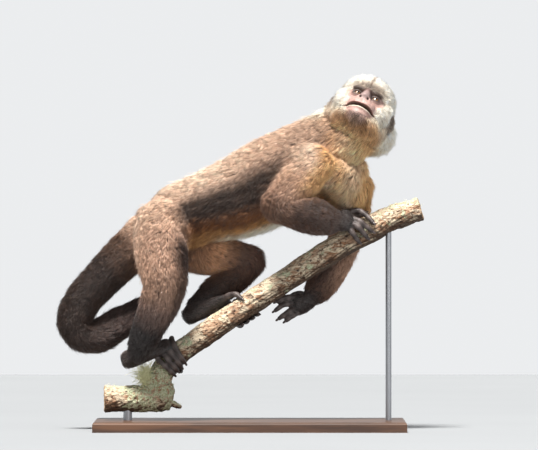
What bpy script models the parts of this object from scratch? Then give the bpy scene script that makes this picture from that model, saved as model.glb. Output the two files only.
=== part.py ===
"""A capuchin monkey climbing a sloping branch, life size, on a plain display stand.

Metres, +Z up. +X runs up the branch, the way the animal walks, and -Y is its right side,
which is shown. The origin is the middle of the stand's underside.
Every piece of the animal reaches out to the tips of its coat, and each is cut back from the
pieces made before it, so that they meet with a thin gap and no overlap.
"""

import math

import bmesh
import bpy
from mathutils import Matrix, Vector

# ---- driving sizes, in metres ----
GAP = 0.0005  # between pieces that touch
BASE_LENGTH = 0.420
BASE_WIDTH = 0.210
BASE_THICK = 0.0135
BASE_BEVEL = 0.003
ROD_RADIUS = 0.004
LOW_ROD_RADIUS = 0.006
ROD_SINK = 0.006  # how deep a rod stands in the base plate
ROD_SHORT = 0.004  # how far below the wood's middle line a rod ends
VOXEL = 0.0035  # of trunk, limbs and tail
HEAD_VOXEL = 0.0018
HAND_VOXEL = 0.0013
TRUNK_TRIANGLES = 560
TAIL_TRIANGLES = 480
HEAD_TRIANGLES = 1080
HAND_TRIANGLES = 380
PERCH_TRIANGLES = 420
FINGER = 0.0037
TOE = 0.0040
NEAR_TOE = 0.0034
EYE_RADIUS = 0.0084
EYE_APART = 0.026

# ---- how the head is held ----
LOOK_UP = math.radians(36)
HEAD_TILT = math.radians(26)
HEAD_TURN = math.radians(-8)
HEAD_CENTRE = Vector((0.1577, 0.004, 0.4438))
HEAD_TURNED = (
    Matrix.Rotation(HEAD_TILT, 3, "Y")
    @ Matrix.Rotation(-LOOK_UP, 3, "X")
    @ Matrix.Rotation(HEAD_TURN, 3, "Z")
)

# ---- joints and the lie of the body ----
ACROSS = Vector((0.16, 0.95, -0.22))  # from the right side of the body to the left
BESIDE = Vector((0, 1, 0))
RIGHT, LEFT = "right", "left"

# Each station is a centre, then half the width across and half the depth, to the coat's tips.
TRUNK = [
    (-0.138, 0.006, 0.281, 0.027, 0.029),
    (-0.104, 0.006, 0.287, 0.039, 0.042),
    (-0.056, 0.005, 0.304, 0.041, 0.047),
    (-0.008, 0.004, 0.320, 0.045, 0.056),
    (0.042, 0.003, 0.345, 0.048, 0.058),
    (0.083, 0.003, 0.370, 0.046, 0.052),
    (0.110, 0.003, 0.388, 0.041, 0.046),
]
NECK = [
    (0.098, 0.003, 0.380, 0.041, 0.046),
    (0.115, 0.003, 0.391, 0.043, 0.046),
    (0.131, 0.003, 0.403, 0.041, 0.044),
]
NAPE = [
    (0.127, 0.003, 0.400, 0.041, 0.044),
    (0.146, 0.004, 0.418, 0.040, 0.042),
]
TAIL = [
    (-0.134, 0.006, 0.266, 0.026),
    (-0.152, 0.009, 0.248, 0.0275),
    (-0.178, 0.013, 0.226, 0.028),
    (-0.201, 0.016, 0.203, 0.0265),
    (-0.225, 0.019, 0.176, 0.0255),
    (-0.236, 0.022, 0.150, 0.0250),
    (-0.227, 0.026, 0.131, 0.0250),
    (-0.204, 0.030, 0.129, 0.024),
    (-0.180, 0.033, 0.142, 0.022),
    (-0.159, 0.035, 0.154, 0.0195),
    (-0.138, 0.036, 0.165, 0.017),
    (-0.120, 0.036, 0.180, 0.014),
    (-0.110, 0.035, 0.196, 0.010),
]
TAIL_CUTS = (4, 8)
THIGH = {
    RIGHT: [
        (-0.122, -0.022, 0.276, 0.034),
        (-0.119, -0.045, 0.240, 0.036),
        (-0.113, -0.066, 0.199, 0.030),
    ],
    LEFT: [
        (-0.100, 0.036, 0.252, 0.034),
        (-0.050, 0.043, 0.237, 0.029),
        (0.003, 0.046, 0.2295, 0.0190),
    ],
}
SHIN = {
    RIGHT: [
        (-0.113, -0.066, 0.199, 0.029),
        (-0.121, -0.058, 0.172, 0.027),
        (-0.132, -0.046, 0.148, 0.023),
        (-0.143, -0.034, 0.122, 0.020),
        (-0.150, -0.026, 0.106, 0.015),
    ],
    LEFT: [
        (0.003, 0.046, 0.2295, 0.0190),
        (-0.020, 0.041, 0.208, 0.022),
        (-0.047, 0.034, 0.187, 0.020),
        (-0.070, 0.027, 0.168, 0.014),
    ],
}
UPPER_ARM = {
    RIGHT: [
        (0.092, -0.030, 0.362, 0.031),
        (0.062, -0.045, 0.331, 0.027),
        (0.034, -0.056, 0.303, 0.0215),
    ],
    LEFT: [
        (0.139, 0.026, 0.333, 0.029),
        (0.136, 0.044, 0.290, 0.026),
        (0.127, 0.056, 0.251, 0.0222),
    ],
}
FOREARM = {
    RIGHT: [
        (0.034, -0.056, 0.303, 0.0215),
        (0.074, -0.049, 0.293, 0.0260),
        (0.101, -0.038, 0.284, 0.0215),
        (0.121, -0.027, 0.283, 0.0130),
    ],
    LEFT: [
        (0.127, 0.056, 0.251, 0.0222),
        (0.106, 0.052, 0.212, 0.0235),
        (0.092, 0.046, 0.189, 0.0190),
        (0.080, 0.042, 0.176, 0.0120),
    ],
}
# The branch's middle line rises with X in the plane Y = 0. Each row is X, Z and radius.
BRANCH = [
    (-0.130, 0.046, 0.0165),
    (-0.125, 0.066, 0.0170),
    (-0.115, 0.083, 0.0165),
    (-0.101, 0.0985, 0.0158),
    (-0.088, 0.1095, 0.0155),
    (-0.050, 0.1370, 0.0158),
    (0.000, 0.171, 0.0160),
    (0.068, 0.2155, 0.0165),
    (0.122, 0.249, 0.0172),
    (0.176, 0.279, 0.0178),
    (0.203, 0.290, 0.0165),
    (0.230, 0.299, 0.0160),
]
LOG = [
    (-0.196, 0.0, 0.0425, 0.0180),
    (-0.150, 0.0, 0.0425, 0.0178),
    (-0.118, 0.0, 0.0430, 0.0182),
    (-0.105, 0.0, 0.0410, 0.0140),
]
FORK_X = -0.104  # where the branch is parted from the fork
ROD_LOW_X = -0.165
ROD_HIGH_X = 0.187

MATERIALS = {
    "brown_fur": ((0.33, 0.22, 0.15), 0.85, 0.0),
    "dark_fur": ((0.07, 0.05, 0.045), 0.80, 0.0),
    "pale_fur": ((0.80, 0.72, 0.60), 0.85, 0.0),
    "dark_skin": ((0.10, 0.08, 0.08), 0.55, 0.0),
    "eye": ((0.09, 0.04, 0.02), 0.10, 0.0),
    "bark": ((0.42, 0.36, 0.28), 0.90, 0.0),
    "stand_wood": ((0.16, 0.10, 0.06), 0.45, 0.0),
    "stand_steel": ((0.60, 0.60, 0.62), 0.30, 1.0),
}


# ---- general helpers ----
def clear_scene():
    for obj in list(bpy.data.objects):
        bpy.data.objects.remove(obj)


def material(name):
    made = bpy.data.materials.get(name)
    if made is None:
        colour, rough, metallic = MATERIALS[name]
        made = bpy.data.materials.new(name)
        made.use_nodes = True
        shader = made.node_tree.nodes["Principled BSDF"]
        shader.inputs["Base Color"].default_value = (*colour, 1.0)
        shader.inputs["Roughness"].default_value = rough
        shader.inputs["Metallic"].default_value = metallic
    return made


def add_object(name, mesh, slot=None):
    obj = bpy.data.objects.new(name, mesh)
    bpy.context.scene.collection.objects.link(obj)
    if slot:
        mesh.materials.clear()
        mesh.materials.append(material(slot))
    return obj


def between(a, b, c, d, t):
    """A Catmull-Rom curve's value between b and c."""
    return 0.5 * (
        2 * b + (c - a) * t + (2 * a - 5 * b + 4 * c - d) * t * t + (3 * b - a - 3 * c + d) * t**3
    )


def smooth_rows(rows, steps):
    """Rows of numbers made closer together along a smooth curve through all of them."""
    ends = [rows[0]] + list(rows) + [rows[-1]]
    found = []
    for i in range(len(rows) - 1):
        for k in range(steps):
            found.append([between(*v, k / steps) for v in zip(*ends[i : i + 4])])
    found.append(list(rows[-1]))
    return found


def loft(stations, across=ACROSS, steps=6, sides=20, dome=0.75):
    """A closed round body through stations of (x, y, z, half width, half depth), with domed ends."""
    full = [s if len(s) == 5 else (*s, s[3]) for s in stations]
    rows = smooth_rows(full, steps)
    points = [Vector(r[:3]) for r in rows]
    mesh = bmesh.new()
    rings = []

    def ring(centre, along, half_width, half_depth):
        side = (across - across.dot(along) * along).normalized()
        deep = along.cross(side)
        turn = [2 * math.pi * k / sides for k in range(sides)]
        rings.append([
            mesh.verts.new(
                centre + side * (half_width * math.cos(a)) + deep * (half_depth * math.sin(a))
            )
            for a in turn
        ])

    start = (points[1] - points[0]).normalized()
    finish = (points[-1] - points[-2]).normalized()
    cap = [math.radians(v) for v in (68, 34)]
    for angle in cap:
        reach = dome * min(rows[0][3], rows[0][4]) * math.sin(angle)
        ring(points[0] - start * reach, start, *[v * math.cos(angle) for v in rows[0][3:]])
    for i, row in enumerate(rows):
        before, after = points[max(i - 1, 0)], points[min(i + 1, len(points) - 1)]
        ring(points[i], (after - before).normalized(), row[3], row[4])
    for angle in reversed(cap):
        reach = dome * min(rows[-1][3], rows[-1][4]) * math.sin(angle)
        ring(points[-1] + finish * reach, finish, *[v * math.cos(angle) for v in rows[-1][3:]])
    for one, two in zip(rings, rings[1:]):
        for k in range(sides):
            after = (k + 1) % sides
            mesh.faces.new((one[k], one[after], two[after], two[k]))
    mesh.faces.new(rings[0][::-1])
    mesh.faces.new(rings[-1])
    bmesh.ops.recalc_face_normals(mesh, faces=mesh.faces)
    return mesh


def ball(centre, radii, turned=None, segments=24):
    """A closed ellipsoid as a bmesh."""
    mesh = bmesh.new()
    bmesh.ops.create_uvsphere(mesh, u_segments=segments, v_segments=segments // 2, radius=1.0)
    turned = turned.to_4x4() if turned else Matrix.Identity(4)
    place = Matrix.Translation(Vector(centre)) @ turned @ Matrix.Diagonal((*radii, 1.0))
    bmesh.ops.transform(mesh, matrix=place, verts=mesh.verts)
    return mesh


def joined(pieces):
    """One mesh from several bmeshes, which are freed."""
    mesh = bpy.data.meshes.new("joined")
    whole = bmesh.new()
    for piece in pieces:
        piece.to_mesh(mesh)
        piece.free()
        whole.from_mesh(mesh)
    whole.to_mesh(mesh)
    whole.free()
    return mesh


def finished(obj):
    """The object's mesh with its modifiers applied."""
    graph = bpy.context.evaluated_depsgraph_get()
    mesh = bpy.data.meshes.new_from_object(obj.evaluated_get(graph))
    old = obj.data
    obj.modifiers.clear()
    obj.data = mesh
    bpy.data.meshes.remove(old)
    return obj


def remeshed(obj, voxel, rounds):
    """The object's overlapping bodies made one skin, and smoothed."""
    remesh = obj.modifiers.new("remesh", "REMESH")
    remesh.mode = "VOXEL"
    remesh.voxel_size = voxel
    smooth = obj.modifiers.new("smooth", "SMOOTH")
    smooth.factor = 0.5
    smooth.iterations = rounds
    return finished(obj)


def fused(name, pieces, voxel, rounds, triangles, slot, cutters=()):
    """Overlapping closed bodies, less any cutters, made one skin of about that many triangles."""
    obj = remeshed(add_object(name, joined(pieces), slot), voxel, rounds)
    for cutter in cutters:
        boolean(obj, add_object("cutter", joined([cutter])), "DIFFERENCE")
    if cutters:
        remeshed(obj, voxel, 1)
    now = sum(len(p.vertices) - 2 for p in obj.data.polygons)
    fewer = obj.modifiers.new("fewer", "DECIMATE")
    fewer.ratio = triangles / now
    return finished(obj)


def boolean(obj, other, operation):
    """Joins or cuts with another object, which is then removed."""
    modifier = obj.modifiers.new("boolean", "BOOLEAN")
    modifier.operation = operation
    modifier.object = other
    modifier.solver = "EXACT"
    finished(obj)
    bpy.data.objects.remove(other)
    return obj


# ---- the perch ----
def branch_at(x):
    """The branch's middle, direction and radius at x."""
    rows = smooth_rows(BRANCH, 8)
    i = max(k for k in range(len(rows) - 1) if rows[k][0] <= max(x, rows[0][0]))
    (x0, z0, r0), (x1, z1, r1) = rows[i], rows[i + 1]
    t = (x - x0) / (x1 - x0)
    along = Vector((x1 - x0, 0, z1 - z0)).normalized()
    return Vector((x, 0, z0 + (z1 - z0) * t)), along, r0 + (r1 - r0) * t


def on_branch(x, angle, off):
    """A point off the bark at x. Angle 0 is the top, 90 the side shown, -90 the far side."""
    middle, along, radius = branch_at(x)
    top = Vector((-along.z, 0, along.x))
    a = math.radians(angle)
    return middle + (top * math.cos(a) + Vector((0, -1, 0)) * math.sin(a)) * (radius + off)


def knobbly(stations, swell, turns):
    """Stations with a slow swelling, as on a branch that has lost its twigs."""
    rows = smooth_rows(stations, 3)
    return [
        (*row[:3], row[3] * (1 + swell * math.sin(turns * k)), row[3] * (1 + swell * math.cos(turns * k)))
        for k, row in enumerate(rows)
    ]


def make_perch():
    """The sloping branch, and the fork with the stub of the log that it grows from."""
    branch = [(x, 0.0, z, r) for x, z, r in BRANCH]
    pieces = [
        loft(knobbly(branch, 0.03, 1.7), BESIDE, steps=1, sides=14, dome=0.05),
        loft(knobbly(LOG, 0.04, 2.3), BESIDE, steps=1, sides=14, dome=0.05),
        loft([(-0.112, -0.003, 0.038, 0.006), (-0.094, -0.004, 0.032, 0.003)], BESIDE, steps=2, sides=8),
        ball((-0.122, 0.0, 0.056), (0.019, 0.018, 0.019)),
    ]
    perch = fused("perch", pieces, VOXEL, 2, PERCH_TRIANGLES, "bark")
    middle, along, radius = branch_at(FORK_X)
    return parted(perch, [(middle, along, 2 * radius)], {
        "perch_branch": (branch_at(0.05)[0], "bark"),
        "perch_fork": (LOG[1][:3], "bark"),
    })


# ---- hands and feet ----
def wrapped(x0, x1, angle0, angle1, radius, lift=0.0):
    """A digit that lies round the branch from one angle to another."""
    steps = 5
    path = []
    for k in range(steps + 1):
        t = k / steps
        thick = radius * (1.0 - 0.22 * t)
        high = thick * 0.92 + lift * (1 - t) ** 2
        place = on_branch(x0 + (x1 - x0) * t, angle0 + (angle1 - angle0) * t, high)
        path.append((*place, thick))
    return loft(path, Vector((1, 0.2, 0.3)), steps=2, sides=10)


def free_digit(points, radius):
    """A digit through free points, thinner to its tip."""
    last = len(points) - 1
    path = [(*p, radius * (1.0 - 0.22 * k / last)) for k, p in enumerate(points)]
    return loft(path, Vector((0.1, 1, 0.2)), steps=3, sides=10)


def right_hand():
    """The hand on the branch: its fingers arch forward and down over the side shown."""
    pieces = [loft([
        (0.1130, -0.0340, 0.2815, 0.0120, 0.0115),
        (0.1215, -0.0300, 0.2815, 0.0125, 0.0100),
        (0.1290, -0.0240, 0.2835, 0.0145, 0.0085),
        (0.1345, -0.0200, 0.2855, 0.0135, 0.0065),
    ], Vector((-0.30, -0.52, -0.80)))]
    for points in (
        [(0.1370, -0.012, 0.2950), (0.1474, -0.0135, 0.2960), (0.1588, -0.0175, 0.2880),
         (0.1660, -0.0212, 0.2800)],
        [(0.1351, -0.018, 0.2870), (0.1474, -0.0235, 0.2823), (0.1559, -0.0235, 0.2757),
         (0.1645, -0.0208, 0.2685)],
        [(0.1323, -0.0225, 0.2804), (0.1436, -0.0270, 0.2757), (0.1512, -0.0260, 0.2681),
         (0.1580, -0.0198, 0.2598)],
        [(0.1314, -0.0255, 0.2757), (0.1389, -0.0275, 0.2650), (0.1470, -0.0195, 0.2540)],
        [(0.1280, -0.012, 0.2890), (0.1430, -0.0030, 0.2890), (0.1560, 0.0030, 0.2925)],
    ):
        pieces.append(free_digit(points, FINGER))
    return fused("hand_right", pieces, HAND_VOXEL, 1, HAND_TRIANGLES, "dark_skin")


def left_hand():
    """The hand that hangs behind the branch with its fingers spread."""
    pieces = [loft([
        (0.088, 0.0445, 0.1845, 0.0120, 0.0115),
        (0.079, 0.0415, 0.1755, 0.0120, 0.0100),
        (0.070, 0.0390, 0.1710, 0.0145, 0.0085),
        (0.062, 0.0370, 0.1685, 0.0150, 0.0070),
    ], Vector((0.25, 0.1, -0.96)))]
    for base, knuckle, tip in (
        ((0.062, 0.037, 0.1790), (0.048, 0.031, 0.1785), (0.036, 0.030, 0.1730)),
        ((0.060, 0.037, 0.1715), (0.046, 0.030, 0.1690), (0.034, 0.029, 0.1610)),
        ((0.061, 0.037, 0.1645), (0.050, 0.030, 0.1580), (0.039, 0.030, 0.1500)),
        ((0.064, 0.037, 0.1580), (0.056, 0.032, 0.1530), (0.0485, 0.031, 0.1470)),
    ):
        pieces.append(free_digit([base, knuckle, tip], FINGER))
    thumb = [(0.076, 0.043, 0.181), (0.066, 0.052, 0.184), (0.056, 0.055, 0.181)]
    pieces.append(free_digit(thumb, FINGER * 1.05))
    return fused("hand_left", pieces, HAND_VOXEL, 1, HAND_TRIANGLES, "dark_skin")


def right_foot():
    """The near hind foot: heel off the end of the branch, toes bunched over the side shown."""
    pieces = [
        loft([
            (-0.149, -0.027, 0.108, 0.0130),
            (-0.156, -0.020, 0.100, 0.0125),
            (-0.165, -0.014, 0.0950, 0.0112),
        ]),
        loft([
            (-0.165, -0.014, 0.0950, 0.0105, 0.0112),
            (-0.148, -0.013, 0.1010, 0.0115, 0.0110),
            (-0.132, -0.013, 0.1070, 0.0125, 0.0090),
            (-0.119, -0.011, 0.1120, 0.0135, 0.0075),
            (-0.1105, -0.0095, 0.1165, 0.0130, 0.0060),
        ], Vector((0.40, 0.65, 0.62))),
    ]
    for x0, x1, angle0, angle1 in (
        (-0.0930, -0.0985, 6, 146),
        (-0.1015, -0.1030, 24, 146),
        (-0.1065, -0.1075, 40, 143),
        (-0.1115, -0.1120, 54, 138),
    ):
        pieces.append(wrapped(x0, x1, angle0, angle1, NEAR_TOE, 0.003))
    pieces.append(wrapped(-0.1060, -0.1070, -10, -190, TOE * 1.1, 0.002))
    return fused("foot_right", pieces, HAND_VOXEL, 1, HAND_TRIANGLES, "dark_skin")


def left_foot():
    """The far hind foot: big toe over the top, the others round the far side and beneath."""
    pieces = [
        loft([
            (-0.068, 0.028, 0.170, 0.0130),
            (-0.077, 0.024, 0.159, 0.0120),
            (-0.083, 0.021, 0.1535, 0.0108),
        ]),
        loft([
            (-0.083, 0.021, 0.1535, 0.0105, 0.0108),
            (-0.062, 0.019, 0.1620, 0.0115, 0.0105),
            (-0.046, 0.016, 0.1690, 0.0140, 0.0085),
            (-0.032, 0.013, 0.1735, 0.0150, 0.0070),
        ], Vector((0.35, 0.80, -0.45))),
    ]
    for k in range(4):
        x0 = -0.0345 + 0.0072 * k
        pieces.append(wrapped(x0, x0 + 0.0145, -38 - 4 * k, -196 + 5 * k, TOE, 0.002))
    big_toe = [
        (-0.040, 0.008, 0.1745),
        (-0.029, 0.001, 0.1815),
        (-0.019, -0.006, 0.1835),
        (-0.0115, -0.0125, 0.1775),
    ]
    pieces.append(free_digit(big_toe, TOE * 1.15))
    return fused("foot_left", pieces, HAND_VOXEL, 1, HAND_TRIANGLES, "dark_skin")


# ---- the head ----
def on_head(forward, left, up):
    """A point of the head from how far forward, to its left and up it lies."""
    return HEAD_CENTRE + HEAD_TURNED @ Vector((left, -forward, up))


def head_ball(forward, left, up, long, wide, high):
    return ball(on_head(forward, left, up), (wide, long, high), HEAD_TURNED)


def head_pieces():
    """Skull, face, jaw and the ruff behind the ears, to the tips of their fur."""
    pieces = [
        head_ball(-0.007, 0, 0, 0.042, 0.041, 0.0395),  # brain case
        head_ball(0.014, 0, -0.018, 0.0175, 0.029, 0.020),  # cheekbones
        head_ball(0.0295, 0, -0.0335, 0.0155, 0.0215, 0.0145),  # muzzle
        head_ball(0.0250, 0, -0.0475, 0.0170, 0.0185, 0.0105),  # chin
        head_ball(0.002, 0, -0.048, 0.028, 0.030, 0.018),  # throat
    ]
    for side in (-1, 1):
        pieces.append(head_ball(0.010, side * 0.026, -0.026, 0.020, 0.015, 0.019))  # cheek
        pieces.append(head_ball(-0.006, side * 0.028, -0.037, 0.024, 0.019, 0.020))  # jaw's angle
        pieces.append(head_ball(-0.024, side * 0.029, -0.022, 0.022, 0.0205, 0.025))  # ruff
        pieces.append(head_ball(0.0305, side * 0.012, -0.003, 0.0065, 0.0130, 0.0055))  # brow
    bridge = [(0.0320, -0.006), (0.0355, -0.015), (0.0400, -0.0240)]
    rows = [(*on_head(f, 0, u), 0.0045 + 0.0012 * k) for k, (f, u) in enumerate(bridge)]
    pieces.append(loft(rows, HEAD_TURNED @ Vector((1, 0, 0)), steps=3, sides=12))
    pieces.append(loft(NAPE))
    pieces.append(ball((0.168, 0.012, 0.399), (0.029, 0.028, 0.029)))  # beard and far side's ruff
    return pieces


def mouth_cutter():
    """The parted lips: a thin crescent from one corner of the mouth to the other."""
    rows = []
    for degrees in range(-84, 85, 14):
        a = math.radians(degrees)
        place = on_head(0.0225 + 0.0190 * math.cos(a), 0.0200 * math.sin(a), -0.0385)
        rows.append((*place, 0.0055, 0.0006 + 0.0026 * math.cos(a)))
    return loft(rows, HEAD_TURNED @ Vector((0, -1, 0)), steps=1, sides=8)


def eye_centre(side):
    return on_head(0.0220, side * EYE_APART / 2, -0.014)


def make_head():
    orbits = [
        ball(on_head(0.0365, side * 0.0135, -0.0135), [0.0125] * 3, HEAD_TURNED) for side in (-1, 1)
    ]
    cutters = [mouth_cutter(), *orbits]
    return fused("head", head_pieces(), HEAD_VOXEL, 3, HEAD_TRIANGLES, "pale_fur", cutters)


def make_eye(side, name):
    eye = ball(eye_centre(side), [EYE_RADIUS] * 3, HEAD_TURNED, 14)
    return add_object(name, joined([eye]), "eye")


def make_ear(side, name):
    """A small round ear, cupped forwards, with its root in the fur."""
    root = on_head(-0.004, side * 0.0442, -0.015)
    turned = HEAD_TURNED @ Matrix.Rotation(side * math.radians(40), 3, "Z")
    ear = add_object(name, joined([ball(root, (0.0095, 0.0034, 0.0135), turned, 14)]), "pale_fur")
    hollow = root + turned @ Vector((side * 0.0015, -0.0030, 0.0))
    cup = add_object("ear_cup", joined([ball(hollow, (0.0065, 0.0034, 0.0098), turned, 10)]))
    return boolean(ear, cup, "DIFFERENCE")


# ---- the trunk and the limbs ----
def make_trunk():
    breast = ball((0.116, -0.002, 0.338), (0.035, 0.034, 0.035))
    return fused("trunk", [loft(TRUNK), breast], VOXEL, 4, TRUNK_TRIANGLES, "brown_fur")


def make_neck():
    return add_object("neck", joined([loft(NECK, steps=2, sides=16, dome=0.3)]), "brown_fur")


def slab(at, along, radius):
    """A disc as thick as the gap, across a limb."""
    mesh = bmesh.new()
    bmesh.ops.create_cone(mesh, cap_ends=True, segments=20, radius1=radius, radius2=radius, depth=GAP)
    turned = Vector(along).to_track_quat("Z", "Y").to_matrix().to_4x4()
    bmesh.ops.transform(mesh, matrix=Matrix.Translation(Vector(at)) @ turned, verts=mesh.verts)
    return add_object("slab", joined([mesh]))


def bodies_of(mesh):
    """The bmesh's separate bodies, as sets of its vertices."""
    bodies, left = [], set(mesh.verts)
    while left:
        stack, body = [left.pop()], set()
        while stack:
            vert = stack.pop()
            body.add(vert)
            for edge in vert.link_edges:
                other = edge.other_vert(vert)
                if other in left:
                    left.discard(other)
                    stack.append(other)
        bodies.append(body)
    return bodies


def keep_body(obj, chosen):
    """Leaves only the body that the function picks out of a list of them."""
    mesh = bmesh.new()
    mesh.from_mesh(obj.data)
    kept = chosen(bodies_of(mesh))
    bmesh.ops.delete(mesh, geom=[v for v in mesh.verts if v not in kept], context="VERTS")
    mesh.to_mesh(obj.data)
    mesh.free()
    return obj


def nearest_to(point):
    def distance(body):
        return (sum((v.co for v in body), Vector()) / len(body) - Vector(point)).length

    return lambda bodies: min(bodies, key=distance)


def parted(obj, cuts, names):
    """Parts an object with thin slabs. Each name has a point near its length's middle and a slot."""
    for cut in cuts:
        boolean(obj, slab(*cut), "DIFFERENCE")
    made = []
    for name, (point, slot) in names.items():
        made.append(keep_body(add_object(name, obj.data.copy(), slot), nearest_to(point)))
    bpy.data.objects.remove(obj)
    return made


def make_length(name, stations, slot):
    """An upper arm, forearm, thigh or shin as one round body."""
    return add_object(name, joined([loft(stations, steps=2, sides=12)]), slot)


def make_limbs():
    made = []
    for side in (RIGHT, LEFT):
        made.append(make_length(f"thigh_{side}", THIGH[side], "brown_fur"))
        made.append(make_length(f"shin_{side}", SHIN[side], "dark_fur"))
        made.append(make_length(f"upper_arm_{side}", UPPER_ARM[side], "brown_fur"))
        made.append(make_length(f"forearm_{side}", FOREARM[side], "dark_fur"))
    return made


def make_tail():
    """The tail in three lengths, cut square across at two of its stations."""
    tail = fused("tail", [loft(TAIL)], VOXEL, 2, TAIL_TRIANGLES, "brown_fur")
    cuts = []
    for k in TAIL_CUTS:
        along = Vector(TAIL[k + 1][:3]) - Vector(TAIL[k - 1][:3])
        cuts.append((TAIL[k][:3], along, 1.2 * TAIL[k][3]))
    return parted(tail, cuts, {
        "tail_base": (TAIL[2][:3], "brown_fur"),
        "tail_middle": (TAIL[6][:3], "dark_fur"),
        "tail_end": (TAIL[10][:3], "dark_fur"),
    })


# ---- parting what touches ----
def grown(obj, amount):
    """A copy of an object, larger by an amount along its normals."""
    copy = add_object("grown", obj.data.copy())
    swell = copy.modifiers.new("swell", "DISPLACE")
    swell.strength = amount
    swell.mid_level = 0.0
    return finished(copy)


def corners(obj):
    low = [min(v.co[k] for v in obj.data.vertices) for k in range(3)]
    high = [max(v.co[k] for v in obj.data.vertices) for k in range(3)]
    return low, high


def near(one, two):
    (low1, high1), (low2, high2) = corners(one), corners(two)
    return all(low1[k] < high2[k] + GAP and low2[k] < high1[k] + GAP for k in range(3))


def part_from(obj, earlier):
    """Cuts an object back from the ones made before it, leaving the gap."""
    for other in earlier:
        if near(obj, other):
            boolean(obj, grown(other, GAP), "DIFFERENCE")
    return keep_body(obj, lambda bodies: max(bodies, key=len))


def make_base():
    """A plain base plate with softened upper edges."""
    base = add_object("stand_base", bpy.data.meshes.new("stand_base"), "stand_wood")
    mesh = bmesh.new()
    bmesh.ops.create_cube(mesh, size=1.0)
    place = Matrix.Translation((0, 0, BASE_THICK / 2))
    size = Matrix.Diagonal((BASE_LENGTH, BASE_WIDTH, BASE_THICK, 1.0))
    bmesh.ops.transform(mesh, matrix=place @ size, verts=mesh.verts)
    upper = [e for e in mesh.edges if min(v.co.z for v in e.verts) > BASE_THICK / 2]
    bmesh.ops.bevel(mesh, geom=upper, offset=BASE_BEVEL, segments=2, affect="EDGES", profile=0.5)
    mesh.to_mesh(base.data)
    mesh.free()
    return base


def make_rod(name, x, top, radius):
    """An upright steel rod that is let into the base plate and into the perch."""
    mesh = bmesh.new()
    bottom = BASE_THICK - ROD_SINK
    bmesh.ops.create_cone(
        mesh, cap_ends=True, segments=20, radius1=radius, radius2=radius, depth=top - bottom
    )
    place = Matrix.Translation((x, 0, (top + bottom) / 2))
    bmesh.ops.transform(mesh, matrix=place, verts=mesh.verts)
    return add_object(name, joined([mesh]), "stand_steel")


def main():
    clear_scene()
    made = [
        make_rod("stand_rod_low", ROD_LOW_X, LOG[1][2] - ROD_SHORT, LOW_ROD_RADIUS),
        make_rod("stand_rod_high", ROD_HIGH_X, branch_at(ROD_HIGH_X)[0].z - ROD_SHORT, ROD_RADIUS),
        make_base(),
    ]
    made += make_perch()
    made += [right_foot(), left_foot(), right_hand(), left_hand()]
    made += [make_trunk(), make_neck()]
    made += [make_eye(-1, "eye_right"), make_eye(1, "eye_left"), make_head()]
    made += [make_ear(-1, "ear_right"), make_ear(1, "ear_left")]
    made += make_limbs()
    made += make_tail()
    for i, obj in enumerate(made):
        part_from(obj, made[:i])


main()
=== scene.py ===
# %% [markdown]
# # A capuchin monkey on a sloping branch
#
# A museum shows an animal as a still model on a stand. This one walks up a branch, with its
# head turned to its right and tipped up. The lesson dresses solids that are already the right
# size: it gives them one skin, a face, eyes, nails and a coat, then bark, a stand and light.
# The lengths are metres, +Z is up, +X is up the branch, and -Y is the animal's right side.

# %% The solids that everything is fitted to
import math

import bmesh
import bpy
import numpy as np
from mathutils import Matrix, Vector, kdtree, noise


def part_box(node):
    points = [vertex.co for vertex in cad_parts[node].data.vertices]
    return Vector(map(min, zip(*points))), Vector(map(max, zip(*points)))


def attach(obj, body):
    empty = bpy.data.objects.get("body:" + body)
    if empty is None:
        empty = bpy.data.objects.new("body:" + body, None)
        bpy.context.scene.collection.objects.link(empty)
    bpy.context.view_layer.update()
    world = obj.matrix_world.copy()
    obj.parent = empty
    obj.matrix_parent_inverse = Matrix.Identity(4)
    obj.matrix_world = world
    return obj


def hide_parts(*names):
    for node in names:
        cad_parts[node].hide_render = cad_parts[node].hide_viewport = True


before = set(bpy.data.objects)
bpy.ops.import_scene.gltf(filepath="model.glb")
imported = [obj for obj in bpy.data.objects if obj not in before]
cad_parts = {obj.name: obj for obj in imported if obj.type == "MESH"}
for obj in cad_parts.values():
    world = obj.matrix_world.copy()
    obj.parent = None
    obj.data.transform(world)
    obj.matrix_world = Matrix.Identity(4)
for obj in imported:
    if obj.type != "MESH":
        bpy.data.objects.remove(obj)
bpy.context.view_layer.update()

FLESH = [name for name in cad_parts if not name.startswith(("eye", "perch", "stand"))]
print(len(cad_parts), "solids, of which", len(FLESH), "are flesh")

# %% [markdown]
# ## Shapes from a few stations
#
# A limb is round, and its thickness changes smoothly. So it is told by a few stations, each a
# centre and half of its width and depth, and a Catmull-Rom curve fills in the rest.
# Numpy works out all rings of a body at once, which keeps the script quick.

# %% Round bodies
ACROSS = np.array((0.16, 0.95, -0.22))  # from the right side of the body to the left
BESIDE = np.array((0.0, 1.0, 0.0))
DOME_RINGS = np.radians((34, 68))  # the rings of a domed end, from its rim towards its pole


def smooth_rows(rows, steps):
    """Rows of numbers made closer together along a smooth curve through all of them."""
    rows = np.array(rows, float)
    ends = np.vstack([rows[:1], rows, rows[-1:]])
    found = []
    for k in range(len(rows) - 1):
        a, b, c, d = ends[k : k + 4]
        for t in np.arange(steps) / steps:
            curve = 2 * b + (c - a) * t + (2 * a - 5 * b + 4 * c - d) * t**2
            found.append(0.5 * (curve + (3 * b - a - 3 * c + d) * t**3))
    return np.array([*found, rows[-1]])


def unit(vectors):
    return vectors / np.maximum(np.linalg.norm(vectors, axis=-1, keepdims=True), 1e-12)


def full_stations(stations):
    """Stations with a depth: one that states only a radius is as deep as it is wide."""
    return np.array([s if len(s) == 5 else (*s, s[3]) for s in stations], float)


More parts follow.
